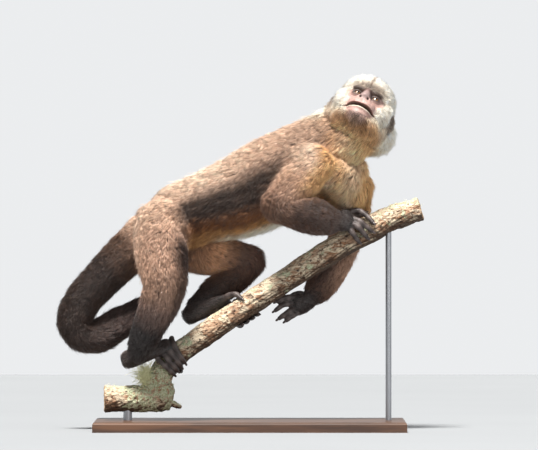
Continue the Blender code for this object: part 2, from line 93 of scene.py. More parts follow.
def tube_faces(rings, sides):
    """Faces that join rings of points into a tube and close both of its ends."""
    faces = []
    for k in range(rings - 1):
        for j in range(sides):
            a, b = k * sides + j, k * sides + (j + 1) % sides
            faces.append((a, b, b + sides, a + sides))
    last = (rings - 1) * sides
    return faces + [tuple(range(sides))[::-1], tuple(range(last, last + sides))]


def loft(stations, across=ACROSS, steps=6, sides=24, dome=0.75):
    """Points and faces of a closed round body with domed ends."""
    rows = smooth_rows(full_stations(stations), steps)
    ways = unit(np.gradient(rows[:, :3], axis=0))
    rings = [(0, -math.sin(angle), math.cos(angle)) for angle in DOME_RINGS[::-1]]
    rings += [(k, 0.0, 1.0) for k in range(len(rows))]
    rings += [(len(rows) - 1, math.sin(angle), math.cos(angle)) for angle in DOME_RINGS]
    turn = 2 * np.pi * np.arange(sides) / sides
    points = []
    for k, reach, shrink in rings:
        side = unit(across - (across @ ways[k]) * ways[k])
        deep = np.cross(ways[k], side)
        centre = rows[k, :3] + ways[k] * reach * dome * rows[k, 3:].min()
        wide, thick = rows[k, 3:] * shrink
        found = centre + np.outer(wide * np.cos(turn), side) + np.outer(thick * np.sin(turn), deep)
        points.append(found)
    return np.vstack(points), tube_faces(len(rings), sides)


def ball(centre, radii, turned=np.eye(3), level=4):
    """Points and faces of an ellipsoid."""
    mesh = bmesh.new()
    bmesh.ops.create_icosphere(mesh, subdivisions=level, radius=1.0)
    points = np.array([v.co for v in mesh.verts])
    faces = [tuple(v.index for v in f.verts) for f in mesh.faces]
    mesh.free()
    return np.array(centre) + (points * np.array(radii)) @ np.array(turned).T, faces


print("a ball has", len(ball((0, 0, 0), (1, 1, 1))[1]), "faces")


# %% From shapes to one mesh
def merged(pieces):
    """The points and faces of several shapes in one list each."""
    points, faces, start = [], [], 0
    for some, those in pieces:
        points.append(some)
        faces += [tuple(i + start for i in face) for face in those]
        start += len(some)
    return np.vstack(points), faces


def linked(name, data):
    """An object of the scene that shows a mesh, a lamp or a camera."""
    obj = bpy.data.objects.new(name, data)
    bpy.context.scene.collection.objects.link(obj)
    return obj


def new_object(name, points, faces):
    mesh = bpy.data.meshes.new(name)
    mesh.from_pydata(np.asarray(points).tolist(), [], faces)
    return linked(name, mesh)


def applied(obj):
    """The object with its modifiers made part of its mesh."""
    graph = bpy.context.evaluated_depsgraph_get()
    mesh = bpy.data.meshes.new_from_object(obj.evaluated_get(graph))
    old = obj.data
    obj.modifiers.clear()
    obj.data = mesh
    bpy.data.meshes.remove(old)
    obj.data.name = obj.name
    return obj


def fused(name, pieces, voxel, rounds):
    """Overlapping closed shapes made one smooth surface of even small faces."""
    obj = new_object(name, *merged(pieces))
    remesh = obj.modifiers.new("one surface", "REMESH")
    remesh.mode = "VOXEL"
    remesh.voxel_size = voxel
    smooth = obj.modifiers.new("soften", "SMOOTH")
    smooth.factor = 0.5
    smooth.iterations = rounds
    return applied(obj)


# %% Numbers from a mesh and back
def numbers_of(items, title, width=3, kind=float):
    """One property of all vertices, loops or triangles, with a row for each."""
    found = np.empty(len(items) * width, kind)
    items.foreach_get(title, found)
    return found.reshape(-1, width)


def points_of(mesh):
    return numbers_of(mesh.vertices, "co")


def normals_of(mesh):
    return numbers_of(mesh.vertices, "normal")


def move_points(mesh, points):
    mesh.vertices.foreach_set("co", points.ravel())
    mesh.update()


def triangles_of(obj):
    return sum(len(p.vertices) - 2 for p in obj.data.polygons)


def nearest(points, others):
    """For each point, the number of the nearest of the others, and how far off it is."""
    tree = kdtree.KDTree(len(others))
    for k, place in enumerate(others):
        tree.insert(place, k)
    tree.balance()
    found = [tree.find(p)[1:] for p in points]
    return np.array([k for k, _ in found], int), np.array([far for _, far in found])


def smoothstep(low, high, value):
    """0 below low, 1 above high, and a smooth climb between. It falls if low is above high."""
    t = np.clip((value - low) / (high - low), 0, 1)
    return t * t * (3 - 2 * t)


# %% [markdown]
# ## The body under the coat
#
# The solids reach the coat's tips, so the skin lies inside them by the coat's depth. Each part
# below states its stations as the solid has them, and how deep the coat is at its two ends.
# The hair lies towards the rump on the trunk, and towards the tip on tail and limbs.

# %% Parts of the body
def part(stations, coat, lie=1):
    """Stations, the coat's depth at both ends, and whether hair lies along (1) or back (-1)."""
    return {"rows": full_stations(stations), "coat": coat, "lie": lie}


BODY = {
    "trunk": part([
        (-0.132, 0.006, 0.283, 0.024, 0.026), (-0.104, 0.006, 0.287, 0.039, 0.042),
        (-0.056, 0.005, 0.304, 0.041, 0.047), (-0.008, 0.004, 0.320, 0.045, 0.056),
        (0.042, 0.003, 0.345, 0.048, 0.058), (0.083, 0.003, 0.370, 0.046, 0.052),
        (0.110, 0.003, 0.388, 0.041, 0.046),
    ], (0.0042, 0.0048), lie=-1),
    "neck": part([
        (0.098, 0.003, 0.380, 0.041, 0.046), (0.115, 0.003, 0.391, 0.043, 0.046),
        (0.131, 0.003, 0.403, 0.041, 0.044), (0.146, 0.004, 0.418, 0.040, 0.042),
    ], (0.0050, 0.0050), lie=-1),
    "tail": part([
        (-0.134, 0.006, 0.266, 0.026), (-0.152, 0.009, 0.248, 0.0275), (-0.178, 0.013, 0.226, 0.028),
        (-0.201, 0.016, 0.203, 0.0265), (-0.225, 0.019, 0.176, 0.0255),
        (-0.236, 0.022, 0.150, 0.0250), (-0.227, 0.026, 0.131, 0.0250),
        (-0.204, 0.030, 0.129, 0.024), (-0.180, 0.033, 0.142, 0.022), (-0.159, 0.035, 0.154, 0.0195),
        (-0.138, 0.036, 0.165, 0.017), (-0.120, 0.036, 0.180, 0.014), (-0.110, 0.035, 0.196, 0.010),
    ], (0.0045, 0.0038)),
    "thigh_right": part([
        (-0.122, -0.022, 0.276, 0.034), (-0.119, -0.045, 0.240, 0.036), (-0.113, -0.066, 0.199, 0.030),
    ], (0.0045, 0.0038)),
    "thigh_left": part([
        (-0.100, 0.036, 0.252, 0.034), (-0.050, 0.043, 0.237, 0.029), (0.003, 0.046, 0.2295, 0.0190),
    ], (0.0045, 0.0032)),
    "shin_right": part([
        (-0.113, -0.066, 0.199, 0.029), (-0.121, -0.058, 0.172, 0.027), (-0.132, -0.046, 0.148, 0.023),
        (-0.143, -0.034, 0.122, 0.020), (-0.150, -0.026, 0.106, 0.015),
    ], (0.0038, 0.0025)),
    "shin_left": part([
        (0.003, 0.046, 0.2295, 0.0190), (-0.020, 0.041, 0.208, 0.022), (-0.047, 0.034, 0.187, 0.020),
        (-0.070, 0.027, 0.168, 0.014),
    ], (0.0032, 0.0025)),
    "upper_arm_right": part([
        (0.092, -0.030, 0.362, 0.031), (0.062, -0.045, 0.331, 0.027), (0.034, -0.056, 0.303, 0.0215),
    ], (0.0045, 0.0036)),
    "upper_arm_left": part([
        (0.139, 0.026, 0.333, 0.029), (0.136, 0.044, 0.290, 0.026), (0.127, 0.056, 0.251, 0.0222),
    ], (0.0045, 0.0036)),
    "forearm_right": part([
        (0.034, -0.056, 0.303, 0.0215), (0.074, -0.049, 0.293, 0.0260),
        (0.101, -0.038, 0.284, 0.0215), (0.121, -0.027, 0.283, 0.0130),
    ], (0.0036, 0.0022)),
    "forearm_left": part([
        (0.127, 0.056, 0.251, 0.0222), (0.106, 0.052, 0.212, 0.0235),
        (0.092, 0.046, 0.189, 0.0190), (0.080, 0.042, 0.176, 0.0120),
    ], (0.0036, 0.0022)),
}


def under_coat(body_part):
    """A part's stations with the coat's depth taken off their width and depth."""
    rows = body_part["rows"].copy()
    depth = np.linspace(*body_part["coat"], len(rows))
    rows[:, 3:] -= depth[:, None]
    return rows


def along(points, rows):
    """For each point: its distance from a part's middle line in radii, how far along it lies from
    0 to 1, the line's direction there, and the nearest place on it."""
    best = np.full(len(points), np.inf)
    share = np.zeros(len(points))
    ways, places = np.zeros((len(points), 3)), np.zeros((len(points), 3))
    lengths = np.linalg.norm(np.diff(rows[:, :3], axis=0), axis=1)
    starts = np.concatenate([[0], np.cumsum(lengths)]) / lengths.sum()
    for k in range(len(rows) - 1):
        step = rows[k + 1, :3] - rows[k, :3]
        t = np.clip((points - rows[k, :3]) @ step / (step @ step), 0, 1)
        place = rows[k, :3] + t[:, None] * step
        radius = rows[k, 3:].mean() * (1 - t) + rows[k + 1, 3:].mean() * t
        off = np.linalg.norm(points - place, axis=1) / radius
        nearer = off < best
        best[nearer] = off[nearer]
        share[nearer] = (starts[k] + (starts[k + 1] - starts[k]) * t)[nearer]
        ways[nearer] = step / np.linalg.norm(step)
        places[nearer] = place[nearer]
    return best, share, ways, places


FLESH_BETWEEN = [  # muscle that rounds off the joints: a middle, and half of its three sizes
    ((0.118, -0.002, 0.338), (0.0300, 0.0300, 0.0300)),  # breast
    ((0.128, 0.010, 0.319), (0.0260, 0.0270, 0.0280)),  # its lower end
    ((0.130, 0.014, 0.350), (0.0260, 0.0260, 0.0290)),  # far shoulder
    ((0.110, -0.019, 0.350), (0.0230, 0.0220, 0.0270)),  # between chest and near shoulder
    ((-0.110, -0.014, 0.277), (0.0360, 0.0330, 0.0350)),  # near hip
    ((-0.106, 0.024, 0.270), (0.0340, 0.0300, 0.0340)),  # far hip
    ((0.080, -0.018, 0.358), (0.0330, 0.0330, 0.0330)),  # near shoulder blade
]
RUMP_TO_TAIL = [  # the straight slope from the rump down the tail's upper side
    (-0.118, 0.0060, 0.290, 0.018), (-0.140, 0.0065, 0.2740, 0.018), (-0.165, 0.0090, 0.2490, 0.018),
    (-0.185, 0.0130, 0.2285, 0.018), (-0.203, 0.0160, 0.2070, 0.018),
]
print(len(BODY), "furred lengths of the body")

# %% [markdown]
# ## The head
#
# The head has its own directions, because it looks up, leans and turns: forward is where the
# face points. Each ball below is a form that a taxidermist would build up in clay, such as the
# brain case, the cheekbones or the ruff, less the depth of its coat. The face is all but bare.

# %% How the head is held
HEAD_CENTRE = np.array((0.1577, 0.004, 0.4438))
HEAD_TURNED = np.array(
    Matrix.Rotation(math.radians(26), 3, "Y")
    @ Matrix.Rotation(math.radians(-36), 3, "X")
    @ Matrix.Rotation(math.radians(-8), 3, "Z")
)


def on_head(places):
    """Points of the head from how far forward, to its left and up they lie."""
    places = np.atleast_2d(places)
    return HEAD_CENTRE + np.stack([places[:, 1], -places[:, 0], places[:, 2]], 1) @ HEAD_TURNED.T


def in_head(points):
    """How far forward, to the left and up of the head's centre points lie."""
    local = (points - HEAD_CENTRE) @ HEAD_TURNED
    return np.stack([-local[:, 1], local[:, 0], local[:, 2]], 1)


# Forward, left, up, half length, half width, half height, depth of the coat.
HEAD_BALLS = [
    (-0.007, 0, 0, 0.042, 0.041, 0.0395, 0.0048),  # brain case
    (0.014, 0, -0.018, 0.0175, 0.029, 0.020, 0.0010),  # cheekbones
    (0.0290, 0, -0.0345, 0.0155, 0.0205, 0.0150, 0.0004),  # muzzle
    (0.0245, 0, -0.0500, 0.0170, 0.0175, 0.0115, 0.0012),  # chin
    (0.002, 0, -0.048, 0.028, 0.030, 0.018, 0.0050),  # throat
]
for side in (-1, 1):
    HEAD_BALLS += [
        (0.010, side * 0.025, -0.026, 0.020, 0.015, 0.019, 0.0038),  # cheek
        (-0.006, side * 0.028, -0.037, 0.024, 0.019, 0.020, 0.0062),  # jaw's angle
        (-0.024, side * 0.029, -0.022, 0.022, 0.0205, 0.025, 0.0060),  # ruff
        (0.017, side * 0.0170, -0.036, 0.014, 0.0140, 0.015, 0.0012),  # between cheek and muzzle
        (0.004, side * 0.0290, -0.015, 0.020, 0.0150, 0.020, 0.0055),  # between cheek and brain case
        (0.013, side * 0.0190, -0.048, 0.016, 0.0130, 0.013, 0.0016),  # between jaw and chin
        (0.0275, side * 0.0115, -0.0052, 0.0062, 0.0120, 0.0046, 0.0006),  # brow
    ]


def head_shapes():
    shapes = []
    for forward, left, up, long, wide, high, coat in HEAD_BALLS:
        radii = np.array((wide, long, high)) - coat
        shapes.append(ball(on_head((forward, left, up))[0], radii, HEAD_TURNED))
    bridge = on_head([(0.0320, 0, -0.006), (0.0355, 0, -0.015), (0.0400, 0, -0.0240)])
    rows = [(*place, radius) for place, radius in zip(bridge, (0.0045, 0.0054, 0.0066))]
    shapes.append(loft(rows, HEAD_TURNED[:, 0], steps=3, sides=16))
    shapes.append(ball((0.168, 0.012, 0.399), (0.0225, 0.0215, 0.0225)))  # beard
    for side in (-1, 1):
        root = on_head((-0.006, side * 0.0350, -0.018))[0]
        shapes.append(ball(root, (0.006, 0.006, 0.010), HEAD_TURNED))  # root of the ear
    return shapes


print(len(HEAD_BALLS), "forms of the head")


# %% [markdown]
# ## Hands and feet
#
# A capuchin's hands and feet are long, dark and nearly bare. Digits on the branch follow its
# round bark: a point on it is told by how far up the branch it lies and by an angle round it.

# %% The branch as a road for the toes
BRANCH = smooth_rows([
    (-0.130, 0.046, 0.0165), (-0.125, 0.066, 0.0170), (-0.115, 0.083, 0.0165), (-0.101, 0.0985, 0.0158),
    (-0.088, 0.1095, 0.0155), (-0.050, 0.1370, 0.0158), (0.000, 0.171, 0.0160), (0.068, 0.2155, 0.0165),
    (0.122, 0.249, 0.0172), (0.176, 0.279, 0.0178), (0.203, 0.290, 0.0165), (0.230, 0.299, 0.0160),
], 8)


def branch_at(x):
    """The branch's middle, direction and radius at x."""
    middle = np.array((x, 0.0, np.interp(x, BRANCH[:, 0], BRANCH[:, 1])))
    heights = np.interp((x - 0.002, x + 0.002), BRANCH[:, 0], BRANCH[:, 1])
    way = unit(np.array((0.004, 0.0, heights[1] - heights[0])))
    return middle, way, np.interp(x, BRANCH[:, 0], BRANCH[:, 2])


def on_branch(x, angle, off):
    """A point off the bark at x. Angle 0 is the top, 90 the side shown, -90 the far side."""
    middle, way, radius = branch_at(x)
    top = np.array((-way[2], 0.0, way[0]))
    a = math.radians(angle)
    return middle + (top * math.cos(a) + np.array((0, -1, 0)) * math.sin(a)) * (radius + off)


print("a branch from x", BRANCH[0, 0], "to", BRANCH[-1, 0])


# %% Palms, soles and digits
FINGER, TOE, NEAR_TOE = 0.0043, 0.0040, 0.0039  # radii at their roots
THINNER = 0.30  # how much of its thickness a digit loses towards its tip
KNUCKLES = ((0.40, 0.13, 0.10), (0.74, 0.10, 0.08))  # where, how much thicker, over what length
digits = []  # each digit's path, and the direction its back faces, for the nails


def thickness(t, radius):
    """A digit's radius at a share of its length: it tapers, and swells at two knuckles."""
    knuckles = sum(more * np.exp(-(((t - place) / reach) ** 2)) for place, more, reach in KNUCKLES)
    return radius * (1 - THINNER * t) * (1 + knuckles)


def digit(path, across, back):
    digits.append((np.array(path), back))
    return loft(path, np.array(across), steps=2, sides=14)


def wrapped(x0, x1, angle0, angle1, radius, lift=0.0):
    """A digit that lies round the branch from one angle to another."""
    path = []
    for t in np.linspace(0, 1, 12):
        thick = thickness(t, radius)
        high = thick * 0.90 + lift * (1 - t) ** 2
        path.append((*on_branch(x0 + (x1 - x0) * t, angle0 + (angle1 - angle0) * t, high), thick))
    back = unit(np.array(path[-1][:3]) - branch_at(x1)[0])
    return digit(path, (1, 0.2, 0.3), back)


def free_digit(points, radius, back):
    rows = smooth_rows(points, 4)
    thick = thickness(np.linspace(0, 1, len(rows)), radius)
    return digit(np.column_stack([rows, thick]), (0.1, 1, 0.2), unit(np.array(back, float)))


print("a digit keeps", 1 - THINNER, "of its thickness at its tip")


# %% Hands
def right_hand():
    """On the branch: the fingers arch forward and down over the side shown."""
    shapes = [loft([
        (0.1130, -0.0340, 0.2815, 0.0120, 0.0115), (0.1215, -0.0300, 0.2815, 0.0125, 0.0100),
        (0.1290, -0.0240, 0.2835, 0.0145, 0.0085), (0.1345, -0.0200, 0.2855, 0.0135, 0.0065),
    ], np.array((-0.30, -0.52, -0.80)))]
    for points in (
        [(0.1370, -0.012, 0.2950), (0.1474, -0.0135, 0.2960), (0.1588, -0.0175, 0.2880),
         (0.1660, -0.0212, 0.2800)],
        [(0.1351, -0.018, 0.2870), (0.1474, -0.0235, 0.2823), (0.1559, -0.0235, 0.2757),
         (0.1645, -0.0208, 0.2685)],
        [(0.1323, -0.0225, 0.2804), (0.1436, -0.0270, 0.2757), (0.1512, -0.0260, 0.2681),
         (0.1580, -0.0198, 0.2598)],
        [(0.1314, -0.0255, 0.2757), (0.1389, -0.0275, 0.2650), (0.1470, -0.0195, 0.2540)],
    ):
        shapes.append(free_digit(points, FINGER, (0.35, -0.90, 0.25)))
    thumb = [(0.1280, -0.012, 0.2890), (0.1430, -0.0030, 0.2890), (0.1560, 0.0030, 0.2925)]
    shapes.append(free_digit(thumb, FINGER, (-0.4, 0, 0.9)))
    return shapes


def left_hand():
    """Hanging behind the branch with its fingers spread and its back to the side shown."""
    shapes = [loft([
        (0.088, 0.0445, 0.1845, 0.0120, 0.0115), (0.079, 0.0415, 0.1755, 0.0120, 0.0100),
        (0.070, 0.0390, 0.1710, 0.0145, 0.0085), (0.062, 0.0370, 0.1685, 0.0150, 0.0070),
    ], np.array((0.25, 0.1, -0.96)))]
    for points in (
        [(0.062, 0.037, 0.1790), (0.048, 0.031, 0.1785), (0.036, 0.030, 0.1730)],
        [(0.060, 0.037, 0.1715), (0.046, 0.030, 0.1690), (0.034, 0.029, 0.1610)],
        [(0.061, 0.037, 0.1645), (0.050, 0.030, 0.1580), (0.039, 0.030, 0.1500)],
        [(0.064, 0.037, 0.1580), (0.056, 0.032, 0.1530), (0.0485, 0.031, 0.1470)],
    ):
        shapes.append(free_digit(points, FINGER, (-0.1, -1, 0.1)))
    thumb = [(0.076, 0.043, 0.181), (0.066, 0.052, 0.184), (0.056, 0.055, 0.181)]
    shapes.append(free_digit(thumb, FINGER * 1.05, (0, 0.3, 1)))
    return shapes


HAND_SHAPES = right_hand() + left_hand()
print(len(digits), "fingers and thumbs")


# %% Feet
def right_foot():
    """The near hind foot: heel off the end of the branch, toes bunched over the side shown."""
    shapes = [
        loft([
            (-0.149, -0.027, 0.108, 0.0130), (-0.156, -0.020, 0.100, 0.0125),
            (-0.165, -0.014, 0.0950, 0.0112),
        ]),
        loft([
            (-0.165, -0.014, 0.0950, 0.0105, 0.0112), (-0.148, -0.013, 0.1010, 0.0115, 0.0110),
            (-0.132, -0.013, 0.1070, 0.0125, 0.0090), (-0.119, -0.011, 0.1120, 0.0135, 0.0075),
            (-0.1105, -0.0095, 0.1165, 0.0130, 0.0060),
        ], np.array((0.40, 0.65, 0.62))),
    ]
    for x0, x1, angle0, angle1 in (
        (-0.0920, -0.0975, 4, 146),
        (-0.0988, -0.1032, 16, 148),
        (-0.1056, -0.1087, 30, 146),
        (-0.1120, -0.1140, 46, 142),
    ):
        shapes.append(wrapped(x0, x1, angle0, angle1, NEAR_TOE, 0.0035))
    shapes.append(wrapped(-0.1060, -0.1070, -10, -190, TOE * 1.1, 0.002))
    return shapes


def left_foot():
    """The far hind foot: big toe over the top, the others round the far side and beneath."""
    shapes = [
        loft([
            (-0.068, 0.028, 0.170, 0.0130), (-0.077, 0.024, 0.159, 0.0120),
            (-0.083, 0.021, 0.1535, 0.0108),
        ]),
        loft([
            (-0.083, 0.021, 0.1535, 0.0105, 0.0108), (-0.062, 0.019, 0.1620, 0.0115, 0.0105),
            (-0.046, 0.016, 0.1690, 0.0140, 0.0085), (-0.032, 0.013, 0.1735, 0.0150, 0.0070),
        ], np.array((0.35, 0.80, -0.45))),
    ]
    for k in range(4):
        x0 = -0.0345 + 0.0072 * k
        shapes.append(wrapped(x0, x0 + 0.0145, -38 - 4 * k, -196 + 5 * k, TOE, 0.002))
    big_toe = [
        (-0.040, 0.008, 0.1745), (-0.029, 0.001, 0.1815), (-0.019, -0.006, 0.1835),
        (-0.0115, -0.0125, 0.1775),
    ]
    shapes.append(free_digit(big_toe, TOE * 1.15, (0.5, -0.7, 0.5)))
    return shapes


HAND_SHAPES += right_foot() + left_foot()
print(len(digits), "digits with the toes")

# %% [markdown]
# ## One skin
#
# All these shapes overlap. A voxel remesh melts them into one surface, with no seam from head
# to tail, and Smooth softens the creases of head and trunk. Even faces of a millimetre would
# be too many, so the furred parts are thinned out with Decimate, whose vertex group leaves
# face, hands and feet alone. The face is then subdivided, because lips and nostrils are fine.

# %% Skin
VOXEL = 0.0013
SMOOTHING = 30, 90  # rounds of smoothing for the head and for the trunk
THINNING = 0.80  # the share of the furred points that goes


def where_bare(points):
    """True on the face, the hands and the feet, which keep their small faces."""
    local = in_head(points)
    face = (local[:, 0] > 0.004) & (np.abs(local[:, 1]) < 0.032) & (local[:, 2] < 0.010)
    return face | (nearest(points, np.vstack([p for p, _ in HAND_SHAPES]))[1] < 0.004)


def worked_on(obj, kind, chosen, **settings):
    """The object after a modifier that works on the chosen points only."""
    group = obj.vertex_groups.new(name="chosen")
    group.add([int(i) for i in np.flatnonzero(chosen)], 1.0, "REPLACE")
    modifier = obj.modifiers.new(kind, kind)
    modifier.vertex_group = group.name
    for title, value in settings.items():
        setattr(modifier, title, value)
    applied(obj)
    obj.vertex_groups.clear()
    return obj


def thinned(obj, share):
    """Takes away that share of the furred faces' points."""
    free = ~where_bare(points_of(obj.data))
    return worked_on(obj, "DECIMATE", free, ratio=1 - share * free.mean())


def softened(obj, inside, rounds):
    """Melts the forms inside into each other."""
    return worked_on(obj, "SMOOTH", inside(points_of(obj.data)), factor=0.5, iterations=rounds)


def finer(obj, inside):
    """Subdivides the faces whose middles are inside."""
    mesh = bmesh.new()
    mesh.from_mesh(obj.data)
    middles = np.array([f.calc_center_median() for f in mesh.faces])
    chosen = [f for f, take in zip(mesh.faces, inside(middles)) if take]
    edges = {e for f in chosen for e in f.edges}
    bmesh.ops.subdivide_edges(mesh, edges=list(edges), cuts=1, use_grid_fill=True)
    bmesh.ops.triangulate(mesh, faces=[f for f in mesh.faces if len(f.verts) > 4])
    mesh.to_mesh(obj.data)
    mesh.free()
    return obj


def on_face(points):
    local = in_head(points)
    return (local[:, 0] > 0.012) & (np.abs(local[:, 1]) < 0.026) & (local[:, 2] < 0.004)


def about_head(points):
    return np.linalg.norm(in_head(points), axis=1) < 0.062


def about_trunk(points):
    return (along(points, BODY["trunk"]["rows"])[0] < 1.7) & ~about_head(points) & ~where_bare(points)


shapes = [loft(under_coat(p)) for p in BODY.values()] + [ball(*flesh) for flesh in FLESH_BETWEEN]
shapes.append(loft(RUMP_TO_TAIL))
skin = fused("skin", shapes + head_shapes() + HAND_SHAPES, VOXEL, 3)
print("skin after the remesh:", triangles_of(skin), "triangles")
for place, rounds in zip((about_head, about_trunk), SMOOTHING):
    softened(skin, place, rounds)
thinned(skin, THINNING)
finer(skin, on_face)
print("skin thinned, with a finer face:", triangles_of(skin), "triangles")

# %% [markdown]
# ## A face modelled from listed touches
#
# Clay is pushed and pulled, and so is this face: each row names a place on it, how far the
# touch spreads, and which way it moves the skin. Places are in millimetres forward, to the left
# and up from the head's centre, and a touch beside the middle is repeated on the other side.

# %% Brow, cheeks, nose and chin
MILLI = 1000.0  # millimetres in a metre
TOUCHES = [  # place, spread, move
    ((33, 12, -5.0), (12, 10, 3.0), (0.5, 0, -0.5)),  # brow ridge
    ((34, 0, -3), (12, 2.0, 5), (-0.7, 0, 0)),  # dent between the brows
    ((30, 13, -13), (12, 9, 5.5), (-1.4, 0, 0)),  # eye socket
    ((31, 6.5, -13), (12, 3.2, 4.5), (-1.4, 0, 0)),  # its inner corner
    ((35, 0, -14), (12, 3.0, 7.0), (1.2, 0, 0)),  # bridge of the nose
    ((26, 19, -21), (12, 7, 4.5), (1.0, 0.3, 0)),  # cheekbone
    ((44, 0, -25.5), (12, 4.6, 3.2), (2.0, 0, 0.3)),  # tip of the nose
    ((41, 6.8, -27), (12, 3.0, 2.8), (1.8, 0.9, 0)),  # its wings
    ((41, 5.2, -28), (12, 1.4, 1.7), (-3.4, -0.5, 0.5)),  # nostrils, which open sideways
    ((44, 0, -35), (12, 1.4, 4.0), (-0.5, 0, 0)),  # groove of the upper lip
    ((42, 9, -36), (12, 6.0, 3.6), (1.0, 0, 0)),  # fullness beside it
    ((38, 0, -45.2), (12, 9, 2.6), (1.8, 0, 0)),  # lower lip
    ((36, 12.5, -31), (12, 1.4, 4.0), (-0.8, 0, 0)),  # crease from nose to mouth
    ((21, 22.0, -41), (9, 2.5, 3.0), (-0.4, -0.3, 0)),  # corners of the mouth
    ((38, 0, -54.0), (12, 8, 4.0), (1.0, 0, -0.8)),  # chin
    ((32, 0, -60), (9, 3, 3.0), (-0.3, 0, 0.9)),  # dimple below it
]


def touched(local):
    """The face's points, in millimetres, after every touch."""
    moved = local.copy()
    for place, spread, move in TOUCHES:
        for side in (-1, 1) if place[1] else (1,):
            mirror = np.array((1, side, 1))
            off = (local - np.array(place) * mirror) / np.array(spread)
            weight = np.exp(-(off**2).sum(1)) * (local[:, 0] > 5)
            moved += weight[:, None] * np.array(move) * mirror
    return moved


print(len(TOUCHES), "touches shape the face")


# %% [markdown]
# The lips part in a crescent from one corner to the other. Skin near that line is pushed back
# into the mouth, and the rims on both sides of it swell a little.

# %% Mouth
MOUTH_MIDDLE = np.array((22.5, 0.0, -41.2))
MOUTH_REACH = np.array((19.0, 20.0))  # forward and to each side
LIPS_DROP = 0.5  # how much lower the lips meet in front than at their corners
LIPS_APART = 0.3, 1.75  # half of the gap at the corners, and how much more it is in front


def round_mouth(local):
    """How far round the mouth a point lies, how far out, and how high in half openings."""
    plan = (local[:, :2] - MOUTH_MIDDLE[:2]) / MOUTH_REACH
    turn = np.arctan2(plan[:, 1], plan[:, 0])
    out = np.linalg.norm(plan, axis=1)
    ahead = np.maximum(np.cos(turn), 0)
    line = MOUTH_MIDDLE[2] - LIPS_DROP * ahead**1.5
    return turn, out, (local[:, 2] - line) / (LIPS_APART[0] + LIPS_APART[1] * ahead**1.2)


def opened(local):
    """The face's points after the lips have parted."""
    turn, out, high = round_mouth(local)
    facing = smoothstep(-0.15, 0.15, np.cos(turn)) * (out > 0.45)
    depth = smoothstep(1.15, 0.70, np.abs(high)) * facing
    lip = np.exp(-(((np.abs(high) - 1.45) / 0.42) ** 2)) * facing * np.maximum(np.cos(turn), 0)
    push = (1 - 0.28 * depth * np.sqrt(np.maximum(np.cos(turn), 0)) + 0.035 * lip)[:, None]
    moved = local.copy()
    moved[:, :2] = MOUTH_MIDDLE[:2] + (local[:, :2] - MOUTH_MIDDLE[:2]) * push
    return moved


print("a mouth", 2 * MOUTH_REACH[1], "mm wide")


# %% [markdown]
# ## Eyes that sit in their sockets
#
# The eyeball is a solid of its own, and the skin must clear it. Directions from its middle are
# told by two angles, across and up. Skin in front of it is pushed below its surface, and a
# thick lid, closed all round like a bent ring, lies on the ball and dips back into the skin.

# %% Sockets and lids
EYES = {name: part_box(name) for name in ("eye_right", "eye_left")}
EYE_RADIUS = max((high - low)[k] for low, high in EYES.values() for k in range(3)) / 2
FORWARD, LEFTWARD, UPWARD = -HEAD_TURNED[:, 1], HEAD_TURNED[:, 0], HEAD_TURNED[:, 2]
LID_ACROSS, LID_UP, LID_DOWN = math.radians(33), math.radians(14), math.radians(15)


def eye_middle(name):
    low, high = EYES[name]
    return np.array((low + high) / 2)


def eye_angles(points, name):
    """Distance from the eye's middle, how many lid openings off its axis, and if it is ahead."""
    local = (points - eye_middle(name)) @ np.stack([FORWARD, LEFTWARD, UPWARD], 1)
    far = np.linalg.norm(local, axis=1)
    off = np.arccos(np.clip(local[:, 0] / far, -1, 1))
    sideways = np.maximum(np.linalg.norm(local[:, 1:], axis=1), 1e-9)
    across, up = off * local[:, 1] / sideways, off * local[:, 2] / sideways
    height = np.where(up > 0, LID_UP, LID_DOWN)
    return far, np.hypot(across / LID_ACROSS, up / height), local[:, 0] > 0


def cleared(points):
    """Skin pushed below the surface of the eyeballs in front of them."""
    for name in EYES:
        far, openings, ahead = eye_angles(points, name)
        near = ahead & (far < 0.016)
        under, over = EYE_RADIUS - 0.0012, np.maximum(far, EYE_RADIUS + 0.0008)
        wanted = under + (over - under) * smoothstep(1.45, 2.0, openings)
        wanted += (far - over) * smoothstep(2.8, 4.0, openings)
        scale = np.where(near, wanted / far, 1.0)[:, None]
        points = eye_middle(name) + (points - eye_middle(name)) * scale
    return points


LID = [  # openings off the axis, and millimetres above the eyeball
    (0.94, -0.5), (0.97, 0.15), (1.01, 0.50), (1.08, 0.75), (1.22, 0.90), (1.45, 1.00),
    (1.75, 0.95), (2.05, 0.50), (2.30, -0.50), (1.70, -1.10),
]


def lids(name, around=72):
    """The two lids of an eye as one closed ring."""
    points, faces = [], []
    for openings, above in LID:
        for turn in 2 * np.pi * np.arange(around) / around:
            height = LID_UP if math.sin(turn) > 0 else LID_DOWN
            across = LID_ACROSS * math.cos(turn) * openings
            up = height * math.sin(turn) * (1 - 0.25 * math.cos(turn) ** 2) * openings
            off = math.hypot(across, up)
            way = math.cos(off) * FORWARD + math.sin(off) * (across * LEFTWARD + up * UPWARD) / off
            points.append(eye_middle(name) + way * (EYE_RADIUS + above / MILLI))
    for k in range(len(LID)):
        for j in range(around):
            a, b = k * around + j, k * around + (j + 1) % around
            c, d = (k + 1) % len(LID) * around + (j + 1) % around, (k + 1) % len(LID) * around + j
            faces.append((a, b, c, d))
    return np.array(points), faces


print("eyes of", round(2 * EYE_RADIUS * MILLI, 1), "mm in their sockets")


# %% [markdown]
# ## Ears
#
# A capuchin's ear is a small round shell with a rolled rim. It is a profile turned about the
# ear's middle, like a bowl on a lathe, but oval, and it joins the head at a knob of skin.

